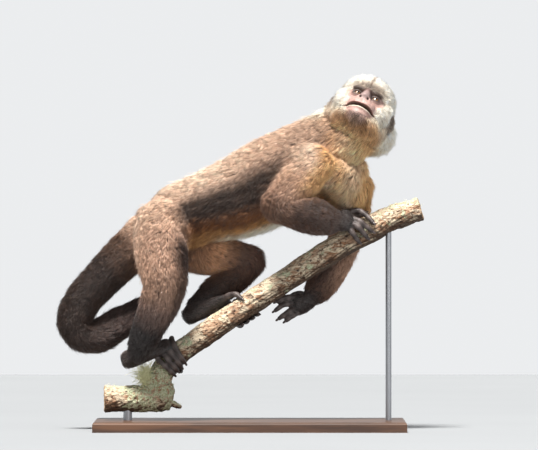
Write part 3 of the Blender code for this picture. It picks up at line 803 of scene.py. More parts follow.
# %% Ear shells
EAR_PLACE = np.array((-0.003, 0.0398, -0.0190))
EAR_WIDTH, EAR_HEIGHT = 0.0095, 0.0138
EAR_SWING = math.radians(58)  # how far it stands off the side of the head
EAR = [  # share of the way out, and millimetres behind the ear's plane
    (0.03, 1.3), (0.35, 1.2), (0.58, 0.5), (0.76, -1.0), (0.87, -1.9), (0.95, -1.8), (1.00, -1.0),
    (1.00, 0.1), (0.92, 1.3), (0.75, 2.5), (0.50, 3.1), (0.25, 3.3), (0.03, 3.3),
]


def ear(side, around=40):
    middle = on_head(EAR_PLACE * (1, side, 1))[0]
    turned = HEAD_TURNED @ np.array(Matrix.Rotation(side * EAR_SWING, 3, "Z"))
    points = []
    for out, behind in EAR:
        for turn in 2 * np.pi * np.arange(around) / around:
            lobe = 1 - 0.10 * max(0.0, -math.sin(turn))
            wide, high = EAR_WIDTH * out * math.cos(turn) * lobe, EAR_HEIGHT * out * math.sin(turn)
            points.append(middle + turned @ np.array((wide, behind / MILLI, high)))
    return np.array(points), tube_faces(len(EAR), around)


print("ears of", round(2 * EAR_HEIGHT * MILLI, 1), "mm")

# %% The finished skin
def with_shapes(obj, shapes):
    """Adds closed shapes to an object's mesh, with their faces pointing out."""
    extra = new_object("extra", *merged(shapes))
    mesh = bmesh.new()
    mesh.from_mesh(extra.data)
    bmesh.ops.recalc_face_normals(mesh, faces=mesh.faces)
    mesh.from_mesh(obj.data)
    mesh.to_mesh(obj.data)
    mesh.free()
    bpy.data.objects.remove(extra)
    return obj


local = in_head(points_of(skin.data)) * MILLI
near_face = np.linalg.norm(local, axis=1) < 75
local[near_face] = opened(touched(local[near_face]))
placed = points_of(skin.data)
placed[near_face] = on_head(local[near_face] / MILLI)
move_points(skin.data, cleared(placed))
with_shapes(skin, [lids(name) for name in EYES] + [ear(side) for side in (-1, 1)])
skin.data.shade_smooth()
print("skin with lids and ears:", triangles_of(skin), "triangles")

# %% [markdown]
# ## Markings
#
# Skin and coat are coloured by the same rules, so that a gap between two tufts shows nothing
# odd. A rule asks where a point lies: how far along which part, how high on its side, or where
# on the head. Every colour is given as on a screen and turned into linear light.
# Some of these colours are painted light and painted shade, as noted where they are used.

# %% Colours of the coat
def colour(red, green, blue):
    """A colour from 0 to 255 on a screen, as the linear light that shaders use."""
    share = np.array((red, green, blue)) / 255
    return np.where(share <= 0.04045, share / 12.92, ((share + 0.055) / 1.055) ** 2.4)


BACK, BACK_GREY, SADDLE = colour(206, 172, 150), colour(188, 158, 138), colour(232, 200, 178)
FLANK_FUR_AND_SHADE, FLANK_LOW, BELLY, BELLY_PALE = (
    colour(50, 32, 20), colour(130, 82, 42), colour(176, 130, 84), colour(232, 222, 200),
)
CHEST, CHEST_PALE, LIT_THROAT, NAPE = (
    colour(218, 168, 118), colour(240, 214, 184), colour(250, 200, 146), colour(190, 150, 114),
)
UPPER_ARM, ELBOW, FOREARM = colour(192, 156, 132), colour(112, 84, 68), colour(75, 54, 44)
THIGH, THIGH_LOW, SHIN, ANKLE = (
    colour(200, 162, 140), colour(170, 136, 116), colour(122, 99, 90), colour(36, 29, 28),
)
THIGH_FRONT_FUR_AND_SHADE, INNER_THIGH, INNER_KNEE = colour(44, 28, 22), colour(208, 154, 116), colour(104, 78, 68)
TAIL_ROOT, TAIL, TAIL_GREY_AND_SHEEN = colour(100, 73, 56), colour(54, 39, 32), colour(84, 69, 66)
HAND_SKIN = colour(60, 51, 49)
print("the back's colour in linear light:", BACK.round(3))


def between(stops, t):
    """Colours along a part: stops are pairs of a place from 0 to 1 and a colour there."""
    places, colours = zip(*stops)
    colours = np.array(colours)
    return np.stack([np.interp(t, places, colours[:, k]) for k in range(3)], 1)


def mixed(base, other, mask):
    """One colour over another, as far as the mask lets it through."""
    return base + (other - base) * np.clip(mask, 0, 1)[:, None]


# %% Which part a point belongs to
LINES = {name: smooth_rows(p["rows"], 3) for name, p in BODY.items()}
LINES["head"] = np.array([
    (*on_head((0.020, 0, -0.020))[0], 0.036, 0.036), (*on_head((-0.020, 0, 0.004))[0], 0.041, 0.041),
])
for name, start, end, radius in (
    ("hand_right", (0.116, -0.030, 0.283), (0.150, -0.018, 0.283), 0.018),
    ("hand_left", (0.084, 0.042, 0.180), (0.045, 0.032, 0.165), 0.018),
    ("foot_right", (-0.156, -0.018, 0.100), (-0.105, -0.014, 0.112), 0.018),
    ("foot_left", (-0.080, 0.022, 0.156), (-0.025, 0.012, 0.176), 0.018),
):
    LINES[name] = np.array([(*start, radius, radius), (*end, radius * 0.8, radius * 0.8)])
NAMES = list(LINES)
HEAD_OVAL = np.array((-0.008, 0, -0.014)), np.array((0.043, 0.056, 0.037))  # middle and radii
SHARPNESS = 7.0  # how abruptly one part's colours give way to the next one's


def belonging(points):
    """Each part's share of every point, how far along it each lies, its way and its place."""
    found = {name: along(points, LINES[name]) for name in NAMES}
    offs = np.stack([found[name][0] for name in NAMES])
    oval = (in_head(points) - HEAD_OVAL[0]) / HEAD_OVAL[1]
    offs[NAMES.index("head")] = np.minimum(offs[NAMES.index("head")], np.linalg.norm(oval, axis=1))
    weights = np.exp(-SHARPNESS * (offs - offs.min(0)))
    weights /= weights.sum(0)
    return {name: (weights[k], *found[name][1:]) for k, name in enumerate(NAMES)}


print(len(NAMES), "parts have colours of their own")


# %% Face and head
CREAM, CREAM_WARM, BEARD, RUFF = (
    colour(246, 237, 222), colour(248, 234, 212), colour(132, 92, 52), colour(255, 242, 218),
)
DARK_HAIR, SOCKET_SKIN_AND_SHADE, FACE_SKIN, NOSE_SKIN = (
    colour(92, 72, 58), colour(44, 31, 28), colour(170, 140, 132), colour(146, 126, 123),
)
MOUTH_INSIDE_AND_SHADE, LIP_BROWN, LOWER_LIP_HIGHLIGHT, LASH = (
    colour(38, 12, 10), colour(104, 58, 44), colour(240, 230, 208), colour(22, 14, 13),
)
CHIN_SKIN, EAR_SKIN, UNDER_JAW, NOSTRIL_SHADE = (
    colour(156, 130, 122), colour(118, 104, 96), colour(178, 136, 94), colour(30, 22, 22),
)
UNDER_EYE, BETWEEN_BROWS = colour(116, 90, 83), colour(96, 72, 67)

# Colour, middle and spread in millimetres, how soft its rim is, and how much of it shows.
FUR_PATCHES = [
    (UNDER_JAW, (-2, 27, -56), (28, 17, 14), 0.35, 0.9),
    (UNDER_JAW, (-20, 32, -52), (22, 14, 11), 0.35, 0.7),  # behind the jaw
    (EAR_SKIN, (-1, 39, -23), (8, 10, 18), 0.35, 0.85),
    (EAR_SKIN, (2, 34, -36), (8, 9, 11), 0.35, 0.65),  # dark fur below the ear
]
FACE_PATCHES = [
    (NOSE_SKIN, (40, 0, -20), (14, 8, 12), 0.35, 1.0),
    (CHIN_SKIN, (36, 0, -53), (16, 15, 8), 0.35, 1.0),
    (DARK_HAIR, (32, 0, -59), (10, 6, 4), 0.35, 0.6),  # a tuft on the chin
    # Dark skin about the eyes, with painted shade under the brow.
    (SOCKET_SKIN_AND_SHADE, (31, 11.5, -8.5), (12, 11.5, 4.2), 0.35, 0.95),
    (SOCKET_SKIN_AND_SHADE, (31, 13.5, -14), (12, 7.6, 5.2), 0.25, 0.75),
    (UNDER_EYE, (29, 15, -20.5), (12, 9, 3.0), 0.35, 0.6),
    (BETWEEN_BROWS, (34, 0, -8.0), (14, 7.5, 6.5), 0.35, 0.7),
    (DARK_HAIR, (33, 10, -1.0), (13, 16, 6.5), 0.6, 0.80),  # eyebrows
]
print(len(FUR_PATCHES), "patches on the fur and", len(FACE_PATCHES), "on the face")


# %% Where on the head
def blob(local, place, spread, softness=0.35):
    """1 inside an oval about a place on the face, and 0 outside, with a soft rim."""
    off = np.linalg.norm((local - np.array(place)) / np.array(spread), axis=1)
    return smoothstep(1 + softness, 1 - softness, off)


def half_face(up):
    """Half of the bare face's width, in millimetres, at each height."""
    return 26 - 5.5 * smoothstep(-17, -30, up) - 11 * smoothstep(-42, -54, up)


def bareness(local):
    """1 on the bare face, 0 in the fur about it: wide at the eyes and narrow beside the mouth."""
    up = local[:, 2]
    beside = smoothstep(1.10, 0.90, np.abs(local[:, 1]) / half_face(up))
    tall = smoothstep(-5.5, -8.5, up) * smoothstep(-56, -50, up)
    return beside * tall * smoothstep(4, 12, local[:, 0])


def on_ears(local):
    """True on the ears' shells, for points in millimetres about the head's centre."""
    both = np.stack([local[:, 0], np.abs(local[:, 1]), local[:, 2]], 1)
    off = np.linalg.norm((both - (-3, 39.8, -19.0)) / (11, 9, 15.5), axis=1)
    return (off < 1.0) & (both[:, 1] > 36.0)


print("the bare face is", round(float(2 * half_face(-15))), "mm wide at the eyes")


# %% Colours of the head
def patched(found, both, patches, where=1):
    """The colours after these patches, on both sides of the head alike."""
    for tint, place, spread, softness, much in patches:
        found = mixed(found, tint, blob(both, place, spread, softness) * much * where)
    return found


def face_colours(local):
    """The head's markings, with painted shade in the eye sockets, mouth and nostrils and a painted
    highlight on the lower lip, for points in millimetres about its centre.
    """
    sides = np.abs(local[:, 1])
    both = np.stack([local[:, 0], sides, local[:, 2]], 1)
    found = np.tile(CREAM, (len(local), 1))
    found = mixed(found, CREAM_WARM, smoothstep(-6, -30, local[:, 0]) * 0.7)
    found = mixed(found, RUFF, smoothstep(-30, -50, local[:, 2]) * smoothstep(6, 16, sides))
    found = mixed(found, BEARD, smoothstep(-41, -55, local[:, 2]) * smoothstep(50, 27, sides))
    found = patched(found, both, FUR_PATCHES)
    stripe = smoothstep(2.2, 0.8, np.abs(local[:, 1] + 0.5)) * smoothstep(42, 20, local[:, 2])
    found = mixed(found, DARK_HAIR, stripe * (local[:, 2] > -6) * 0.8)
    found = mixed(found, FACE_SKIN, bareness(local))
    front = local[:, 0] > 8
    found = patched(found, both, FACE_PATCHES, front)
    turn, out, high = round_mouth(local)
    mouth = (np.cos(turn) > -0.1) & (out > 0.4)
    upper = smoothstep(0.8, 1.1, high) * smoothstep(2.1, 1.4, high)
    found = mixed(found, LIP_BROWN, upper * mouth * 0.85)
    # Painted highlight: a pale line along the lower lip's edge.
    rim = smoothstep(-1.85, -1.45, high) * smoothstep(-0.85, -1.10, high)
    found = mixed(found, LOWER_LIP_HIGHLIGHT, rim * mouth * smoothstep(0.0, 0.5, np.cos(turn)))
    # The dark red inside of the mouth, deepened with painted shade in the shallow opening.
    found = mixed(found, MOUTH_INSIDE_AND_SHADE, smoothstep(1.20, 0.95, np.abs(high)) * mouth)
    # Painted shade inside the nostrils.
    found = mixed(found, NOSTRIL_SHADE, blob(both, (40, 5.2, -28), (9, 1.5, 1.7)) * front)
    for name in EYES:
        far, openings, ahead = eye_angles(on_head(local / MILLI), name)
        lash = smoothstep(1.45, 1.15, openings) * (far < EYE_RADIUS + 0.003) * ahead
        found = mixed(found, LASH, lash * 0.9)
    found[on_ears(local)] = EAR_SKIN
    return found


# %% Colours of the trunk
BACK_WAY = unit(np.array((-0.42, 0.0, 0.90)))  # square to the back


def trunk_colours(share, normals, points):
    high = normals @ BACK_WAY
    upper = between([(0, BACK), (0.35, SADDLE), (0.7, BACK), (1, BACK_GREY)], share)
    # The flank's darker fur, with painted shade on the side that turns away from the back.
    found = mixed(upper, FLANK_FUR_AND_SHADE, smoothstep(0.68, 0.20, high))
    found = mixed(found, FLANK_LOW, smoothstep(-0.05, -0.45, high) * 0.8)
    found = mixed(found, BELLY, smoothstep(-0.55, -0.80, high))
    found = mixed(found, BELLY_PALE, smoothstep(-0.78, -0.95, high) * smoothstep(0.25, 0.5, share))
    ahead = smoothstep(0.086, 0.112, points[:, 0] - 0.35 * (points[:, 2] - 0.37))
    chest = ahead * smoothstep(0.55, 0.1, high)
    found = mixed(found, CHEST, chest)
    return mixed(found, CHEST_PALE, chest * smoothstep(0.112, 0.140, points[:, 0]) * 0.8)


def neck_colours(share, normals, points):
    found = between([(0, BACK_GREY), (1, NAPE)], share)
    # Painted light: the down-turned throat gets a brighter tan that lifts the chin's shadow.
    found = mixed(found, LIT_THROAT, smoothstep(0.0, -0.5, normals[:, 2]))
    found = mixed(found, CHEST, smoothstep(0.140, 0.160, points[:, 0]))
    local = in_head(points) * MILLI
    low = np.where(local[:, 1] < 0, -44, -54)
    beside = smoothstep(31, 43, np.abs(local[:, 1]))
    return mixed(found, RUFF, beside * smoothstep(low - 12, low + 12, local[:, 2]))


# At three quarters of its length the tail is greyer, with a painted sheen.
TAIL_STOPS = [(0, BACK), (0.08, TAIL_ROOT), (0.22, TAIL), (0.5, TAIL), (0.75, TAIL_GREY_AND_SHEEN), (1, TAIL)]
print("the tail is dark from", TAIL_STOPS[2][0], "of its length onwards")


# %% Colours of the limbs
def limb_colours(name, share, normals):
    outward = normals[:, 1] * (-1 if name.endswith("right") else 1)
    front = normals[:, 0]
    if name.startswith("upper_arm"):
        found = between([(0, SADDLE), (0.45, UPPER_ARM), (0.8, THIGH_LOW), (1, ELBOW)], share)
        if name == "upper_arm_left":
            # Painted light: the far arm's front edge is paler, as if lit.
            found = mixed(found, THIGH_LOW, smoothstep(-0.2, 0.4, front) * smoothstep(0.5, 0.9, share))
        return mixed(found, CHEST, smoothstep(0.0, 0.6, front) * smoothstep(0.75, 0.25, share))
    if name.startswith("forearm"):
        found = between([(0, ELBOW), (0.25, FOREARM), (0.8, FOREARM), (1, ANKLE)], share)
        if name == "forearm_left":
            # Painted light: the far forearm's front edge is paler, as if lit.
            return mixed(found, THIGH_LOW, smoothstep(-0.1, 0.6, front) * smoothstep(0.9, 0.3, share))
        return found
    if name == "thigh_right":
        found = between([(0, BACK), (0.5, THIGH), (1, THIGH_LOW)], share)
        # Dark fur on the thigh's front, with painted shade of the fold in front of it.
        return mixed(found, THIGH_FRONT_FUR_AND_SHADE, smoothstep(0.20, 0.85, front) * smoothstep(0.0, 0.5, share))
    if name == "thigh_left":
        # The thigh starts in the flank's colour, painted shade included.
        found = between([(0, FLANK_FUR_AND_SHADE), (0.45, INNER_THIGH), (0.75, ELBOW), (1, INNER_KNEE)], share)
        return mixed(found, BACK, smoothstep(0.2, 0.7, outward) * smoothstep(0.8, 0.4, share) * 0.8)
    found = between([(0, THIGH_LOW), (0.25, SHIN), (0.6, ANKLE), (1, ANKLE)], share)
    if name == "shin_left":
        found = between([(0, INNER_KNEE), (0.4, FOREARM), (1, ANKLE)], share)
    # The dark front of the shin: dark fur with painted shade.
    return mixed(found, THIGH_FRONT_FUR_AND_SHADE, smoothstep(0.35, 0.75, front) * 0.6)


# %% The markings of the whole animal
def markings(points, normals, parts):
    """The colour of skin or coat at each point, from the parts that it belongs to, with the painted
    light and shade that some parts carry.
    """
    found = np.zeros((len(points), 3))
    for name, (weight, share, _, _) in parts.items():
        some = weight > 0.002
        at, facing, t = points[some], normals[some], share[some]
        if name == "trunk":
            mine = trunk_colours(t, facing, at)
        elif name == "neck":
            mine = neck_colours(t, facing, at)
        elif name == "head":
            mine = face_colours(in_head(at) * MILLI)
        elif name == "tail":
            mine = between(TAIL_STOPS, t)
        elif name.startswith(("hand", "foot")):
            mine = np.tile(HAND_SKIN, (len(at), 1))
        else:
            mine = limb_colours(name, t, facing)
        found[some] += weight[some, None] * mine
    return found


def set_colours(mesh, name, colours):
    attribute = mesh.color_attributes.new(name, "FLOAT_COLOR", "POINT")
    attribute.data.foreach_set("color", np.hstack([colours, np.ones((len(colours), 1))]).ravel())


# %% [markdown]
# ## The lie of the coat
#
# Every hair leans along the body: back over the trunk and down towards hands, feet and the end
# of the tail. On the head it runs away from the face. So each root asks the parts that it
# belongs to for their direction, and lays the mixture down on the skin beneath it.

# %% Hair of the head
PARTING = on_head((0.034, 0, -0.022))[0]  # the place on the face that hair runs away from


def hair_of_head(points):
    """Its direction, length in metres, lean in degrees, and half width."""
    local = in_head(points) * MILLI
    way = unit(points - PARTING) + np.array((0, 0, -0.25))
    face = smoothstep(4, 26, local[:, 0])
    low = smoothstep(-34, -52, local[:, 2])
    behind = smoothstep(2, -20, local[:, 0])
    beside = (np.abs(local[:, 1]) - half_face(local[:, 2])) / 14
    away = np.maximum(np.maximum(beside, (local[:, 2] + 7) / 16), (-54 - local[:, 2]) / 14)
    away = np.maximum(smoothstep(0, 1, away), behind)
    size = 0.0032 + 0.0078 * away + 0.0040 * behind + 0.003 * low * (1 - face)
    sides = np.stack([local[:, 0], np.abs(local[:, 1]), local[:, 2]], 1)
    size = size * (1 - 0.6 * blob(sides, (1, 40, -20), (11, 12, 17)))
    size = np.where(on_ears(local), 0.0035, size)
    tilt = 30 + 10 * behind - 6 * face + 4 * low * (1 - face)
    return way, size, tilt, 0.00026 - 0.00006 * face


# %% Hair of trunk, tail and limbs
RUMPWARDS = np.array((-0.92, 0.0, -0.38))
HAIR_LENGTH, HAIR_LEAN, HAIR_WIDTH = 0.0130, 25, 0.00033  # where a part states nothing else


def hair_of_part(name, points, normals, share, line, place):
    """The same four of any other part: hair follows the line through its middle."""
    way = line * (BODY[name]["lie"] if name in BODY else 1)
    size = {"trunk": 0.0165, "neck": 0.0160}.get(name, HAIR_LENGTH)
    tilt, thick = {"tail": 27}.get(name, HAIR_LEAN), HAIR_WIDTH
    if name == "trunk":
        off, under = unit(points - place), smoothstep(-0.6, -0.9, normals[:, 2])
        down = np.array((0, 0, -0.45)) * (1 - np.abs(off[:, 2:]))
        way = way + down * smoothstep(0, 0.3, share)[:, None]
        size, tilt = size + 0.004 * under, 23 + 12 * under
    elif name.startswith(("thigh", "upper_arm")):
        way = way + RUMPWARDS * 1.1 * smoothstep(0.75, 0.05, share)[:, None]
    elif name.startswith(("forearm", "shin")):
        size = HAIR_LENGTH - 0.0040 * share
    elif name.startswith(("hand", "foot")):
        size, tilt, thick = 0.0060 - 0.0025 * share, 15, 0.00022
    return way, size, tilt, thick


# %% Direction, length and lean of every hair
def lie_of_hair(points, normals, parts):
    """The hair's direction along the skin, its length, how steeply it stands, and its width."""
    ways = np.zeros((len(points), 3))
    length, lean, width = np.zeros(len(points)), np.zeros(len(points)), np.zeros(len(points))
    for name, (weight, share, line, place) in parts.items():
        if name == "head":
            mine, size, tilt, thick = hair_of_head(points)
        else:
            mine, size, tilt, thick = hair_of_part(name, points, normals, share, line, place)
        ways += weight[:, None] * mine
        length += weight * size
        lean += weight * tilt
        width += weight * thick
    flat = unit(ways - (ways * normals).sum(1, keepdims=True) * normals)
    return flat, length, lean, width


# %% Where the coat grows
DIGIT_POINTS = np.vstack([path[:, :3] for path, _ in digits])


def furred(points):
    """The share of the skin at each point that bears tufts."""
    local = in_head(points) * MILLI
    cover = 1 - smoothstep(0.35, 0.8, bareness(local)) * (local[:, 0] > 5)
    cover[on_ears(local)] = 0.7
    off = nearest(points, DIGIT_POINTS)[1]
    parts = belonging(points)
    for name in ("hand_right", "hand_left", "foot_right", "foot_left"):
        weight, share, _, _ = parts[name]
        cover *= 1 - smoothstep(0.80, 1.0, share) * smoothstep(0.4, 0.7, weight)
    return cover * smoothstep(0.0045, 0.0075, off)


# %% The skin's colours, darker where the coat shades it
points = points_of(skin.data)
tints = markings(points, normals_of(skin.data), belonging(points))
set_colours(skin.data, "markings", tints * (1 - 0.5 * furred(points))[:, None])
print("skin coloured at", len(points), "points")

# %% [markdown]
# ## A map for the coat's colours
#
# Each tuft has a small patch of the map at its root's place, for its colours. That place
# comes from an unwrap of the skin itself, done here on a lighter copy, which the roots are also
# spread over: evenly by area, closer on the head, and thinned out where the coat ends.

# %% Roots
rng = np.random.default_rng(20)
TUFTS = 238000


def light_skin():
    """A lighter copy of the skin with an unwrap, as numpy arrays of its triangles."""
    copy = linked("light skin", skin.data.copy())
    fewer = copy.modifiers.new("fewer", "DECIMATE")
    fewer.ratio = 0.16
    applied(copy)
    bpy.context.view_layer.objects.active = copy
    copy.select_set(True)
    bpy.ops.object.mode_set(mode="EDIT")
    bpy.ops.mesh.select_all(action="SELECT")
    bpy.ops.uv.smart_project(angle_limit=math.radians(66), island_margin=0.004)
    bpy.ops.object.mode_set(mode="OBJECT")
    return copy


def spread_roots(mesh, count):
    """Roots spread by area: where they are, the skin's normal there, and their place on the map."""
    mesh.calc_loop_triangles()
    corners = numbers_of(mesh.loop_triangles, "vertices", kind=int)
    points, normals = points_of(mesh)[corners], normals_of(mesh)[corners]
    places = numbers_of(mesh.uv_layers.active.data, "uv", 2)
    places = places[numbers_of(mesh.loop_triangles, "loops", kind=int)]
    area = np.linalg.norm(np.cross(points[:, 1] - points[:, 0], points[:, 2] - points[:, 0]), axis=1)
    middles = points.mean(1)
    crowd = 1 + 1.8 * np.exp(-((np.linalg.norm(in_head(middles), axis=1) / 0.05) ** 4))
    area = area * crowd * furred(middles)
    steps = (np.arange(count) + rng.random(count)) / count
    chosen = np.searchsorted(np.cumsum(area) / area.sum(), steps)
    a, b = rng.random(count), rng.random(count)
    flip = a + b > 1
    a[flip], b[flip] = 1 - a[flip], 1 - b[flip]
    weights = np.stack([1 - a - b, a, b], 1)[:, :, None]
    return (
        (points[chosen] * weights).sum(1), unit((normals[chosen] * weights).sum(1)),
        (places[chosen] * weights).sum(1),
    )


spread_over = light_skin()
roots, root_normals, root_places = spread_roots(spread_over.data, TUFTS)
bpy.data.objects.remove(spread_over)
print(len(roots), "roots")

# %% [markdown]
# ## Tufts
#
# A tuft is a thin bent spindle with three sides: a point at the root, a ring on its way, and a
# tip. Single spikes look like a brush, so neighbours share a lock: their tips lean together,
# and a lock is a little lighter, darker or longer than the next one.

# %% Locks of hair
SINK = 0.0006  # how deep a root lies under the skin
GUARD_SHARE = 0.05  # the share of single hairs that stand out of the coat
LOCK_SHARE = 0.04  # the share of roots that a lock forms about
GATHERED, GATHERED_MOST = 0.30, 0.0022  # how far a lock's tips lean together

parts = belonging(roots)
flat, length, lean, width = lie_of_hair(roots, root_normals, parts)
chosen = rng.choice(len(roots), max(int(len(roots) * LOCK_SHARE), 10), replace=False)
lock = nearest(roots, roots[chosen])[0]
side = np.cross(root_normals, flat)
sway = rng.normal(0, 0.16, len(roots)) + rng.normal(0, 0.12, len(chosen))[lock]
flat = unit(flat + side * sway[:, None])
side = np.cross(root_normals, flat)
length = length * rng.uniform(0.80, 1.15, len(roots)) * rng.uniform(0.88, 1.12, len(chosen))[lock]
lean = lean * rng.uniform(0.7, 1.3, len(roots)) + rng.normal(0, 2.5, len(chosen))[lock]
guard = rng.random(len(roots)) < GUARD_SHARE
lean = np.radians(np.where(guard, lean * 1.7, lean))
width = np.where(guard, width * 0.7, width)
print(len(chosen), "locks and", int(guard.sum()), "single hairs")


# %% Each tuft's root, bend and tip
def leaning(angle):
    """Directions that rise from the skin by an angle."""
    return flat * np.cos(angle)[:, None] + root_normals * np.sin(angle)[:, None]


base = roots - root_normals * SINK
middle = base + 0.45 * length[:, None] * leaning(lean * 1.35)
tip = middle + 0.55 * length[:, None] * leaning(lean * 0.45)
gather = np.where(guard, 0.0, GATHERED)[:, None] * (tip[chosen][lock] - tip)
far = np.linalg.norm(gather, axis=1)
tip = tip + gather * np.minimum(1, GATHERED_MOST / np.maximum(far, 1e-9))[:, None]
print("tufts of", round(length.mean() * MILLI, 1), "mm on average")

# %% Their meshes
RING = np.radians((90, 210, 330))


def tuft_points():
    """Five points for each tuft: its root, a ring of three, and its tip."""
    found = [base]
    for angle in RING:
        across = side * (width * math.cos(angle))[:, None]
        up = root_normals * (width * 0.6 * math.sin(angle))[:, None]
        found.append(middle + across + up)
    return np.stack([*found, tip], 1)


TUFT_FACES = np.array([(2, 1, 0), (3, 2, 0), (1, 3, 0), (1, 2, 4), (2, 3, 4), (3, 1, 4)])
PATCH = 0.003  # a tuft's share of the map's width
PATCH_PLACES = np.array([(0.5, 0.0), (0.5, 0.6), (0.0, 0.5), (1.0, 0.5), (0.5, 1.0)]) * PATCH - PATCH / 2


def solid_from_triangles(name, points, triangles, places):
    """A mesh object from arrays, with its map."""
    mesh = bpy.data.meshes.new(name)
    mesh.vertices.add(len(points))
    mesh.vertices.foreach_set("co", points.ravel())
    mesh.loops.add(triangles.size)
    mesh.loops.foreach_set("vertex_index", triangles.ravel())
    mesh.polygons.add(len(triangles))
    mesh.polygons.foreach_set("loop_start", np.arange(0, triangles.size, 3))
    mesh.update(calc_edges=True)
    layer = mesh.uv_layers.new(name="OFBake")
    layer.data.foreach_set("uv", places[triangles.ravel()].ravel())
    mesh.shade_smooth()
    return linked(name, mesh)


tufts = tuft_points()
print(tufts.shape[0] * len(TUFT_FACES), "triangles of coat")

# %% Their colours
ROOT_SHADE_TO_TIP = np.array((0.40, 1.05, 1.05, 1.05, 1.50))  # how bright a tuft is on its way: painted shade at the root, lighter at the tip
root_colours = markings(roots, root_normals, parts)
head_local = in_head(roots) * MILLI
agouti = 0.20 * smoothstep(-38, -52, head_local[:, 2]) * (np.linalg.norm(head_local, axis=1) < 80)
bright = 1 + rng.normal(0, 1, len(roots)) * (0.16 + agouti) + rng.normal(0, 0.11, len(chosen))[lock]
bright = np.clip(bright, 0.40, 1.7)[:, None]
tuft_colours = root_colours[:, None, :] * bright[:, None, :] * ROOT_SHADE_TO_TIP[None, :, None]
tuft_colours = np.clip(tuft_colours, 0, 0.95)
tuft_places = np.clip(root_places[:, None, :] + PATCH_PLACES[None], 0.0, 1.0)
print("brightness from", round(float(bright.min()), 2), "to", round(float(bright.max()), 2))

# %% A piece of coat for each part of the body
owner = np.array(NAMES)[np.argmax(np.stack([parts[name][0] for name in NAMES]), 0)]
GROUPS = {
    "coat_head": ["head"], "coat_neck": ["neck"], "coat_trunk": ["trunk"], "coat_tail": ["tail"],
    "coat_arms": ["upper_arm_right", "upper_arm_left", "forearm_right", "forearm_left", "hand_right",
                  "hand_left"],
    "coat_legs": ["thigh_right", "thigh_left", "shin_right", "shin_left", "foot_right", "foot_left"],
}
MOST = 190000 // len(TUFT_FACES)  # a piece stays under 200,000 triangles
coats = []
for name, members in GROUPS.items():
    mine = np.flatnonzero(np.isin(owner, members))
    mine = mine[np.argsort(roots[mine, 0], kind="stable")]
    count = -(-len(mine) // MOST)
    for k, some in enumerate(np.array_split(mine, count)):
        starts = tufts.shape[1] * np.arange(len(some))[:, None, None]
        triangles = (TUFT_FACES[None] + starts).reshape(-1, 3)
        title = name if count == 1 else f"{name}_{k + 1}"
        places = tuft_places[some].reshape(-1, 2)
        coat = solid_from_triangles(title, tufts[some].reshape(-1, 3), triangles, places)
        set_colours(coat.data, "markings", tuft_colours[some].reshape(-1, 3))
        coats.append(coat)
        print(title, len(some), "tufts")

# %% [markdown]
# ## A short way to write materials
#
# A material is arithmetic on noise, attributes and places. A small class wraps a node's output
# and gives it Python's operators, each of which adds a Math node, so a mask can be written as a
# formula. Whatever isn't arithmetic comes from one function that takes a node's type, its
# settings, and what goes into its sockets. Geometry Nodes and the sky use it as well.

# %% Expressions that become nodes
class Output:
    """A node's output in arithmetic."""

    def __init__(self, finish, socket):
        self.finish, self.socket = finish, socket

    def __add__(self, other):
        return self.finish.math("ADD", self, other)

    def __sub__(self, other):
        return self.finish.math("SUBTRACT", self, other)

    def __rsub__(self, other):
        return self.finish.math("SUBTRACT", other, self)

    def __mul__(self, other):
        return self.finish.math("MULTIPLY", self, other)

    __radd__, __rmul__ = __add__, __mul__


def any_node(tree, kind, settings, inputs):
    """A new node of a tree: its settings first, then the values or links of its sockets."""
    made = tree.nodes.new(kind)
    for title, value in dict(settings).items():
        setattr(made, title, value)
    for socket, value in dict(inputs).items():
        value = value.socket if isinstance(value, Output) else value
        if isinstance(value, bpy.types.NodeSocket):
            tree.links.new(value, made.inputs[socket])
        else:
            made.inputs[socket].default_value = value
    return made


# %% A material in a few words
def socket_title(word):
    """A socket's name from a Python word, such as base_color."""
    return word.replace("_", " ").title().replace("Ior", "IOR")


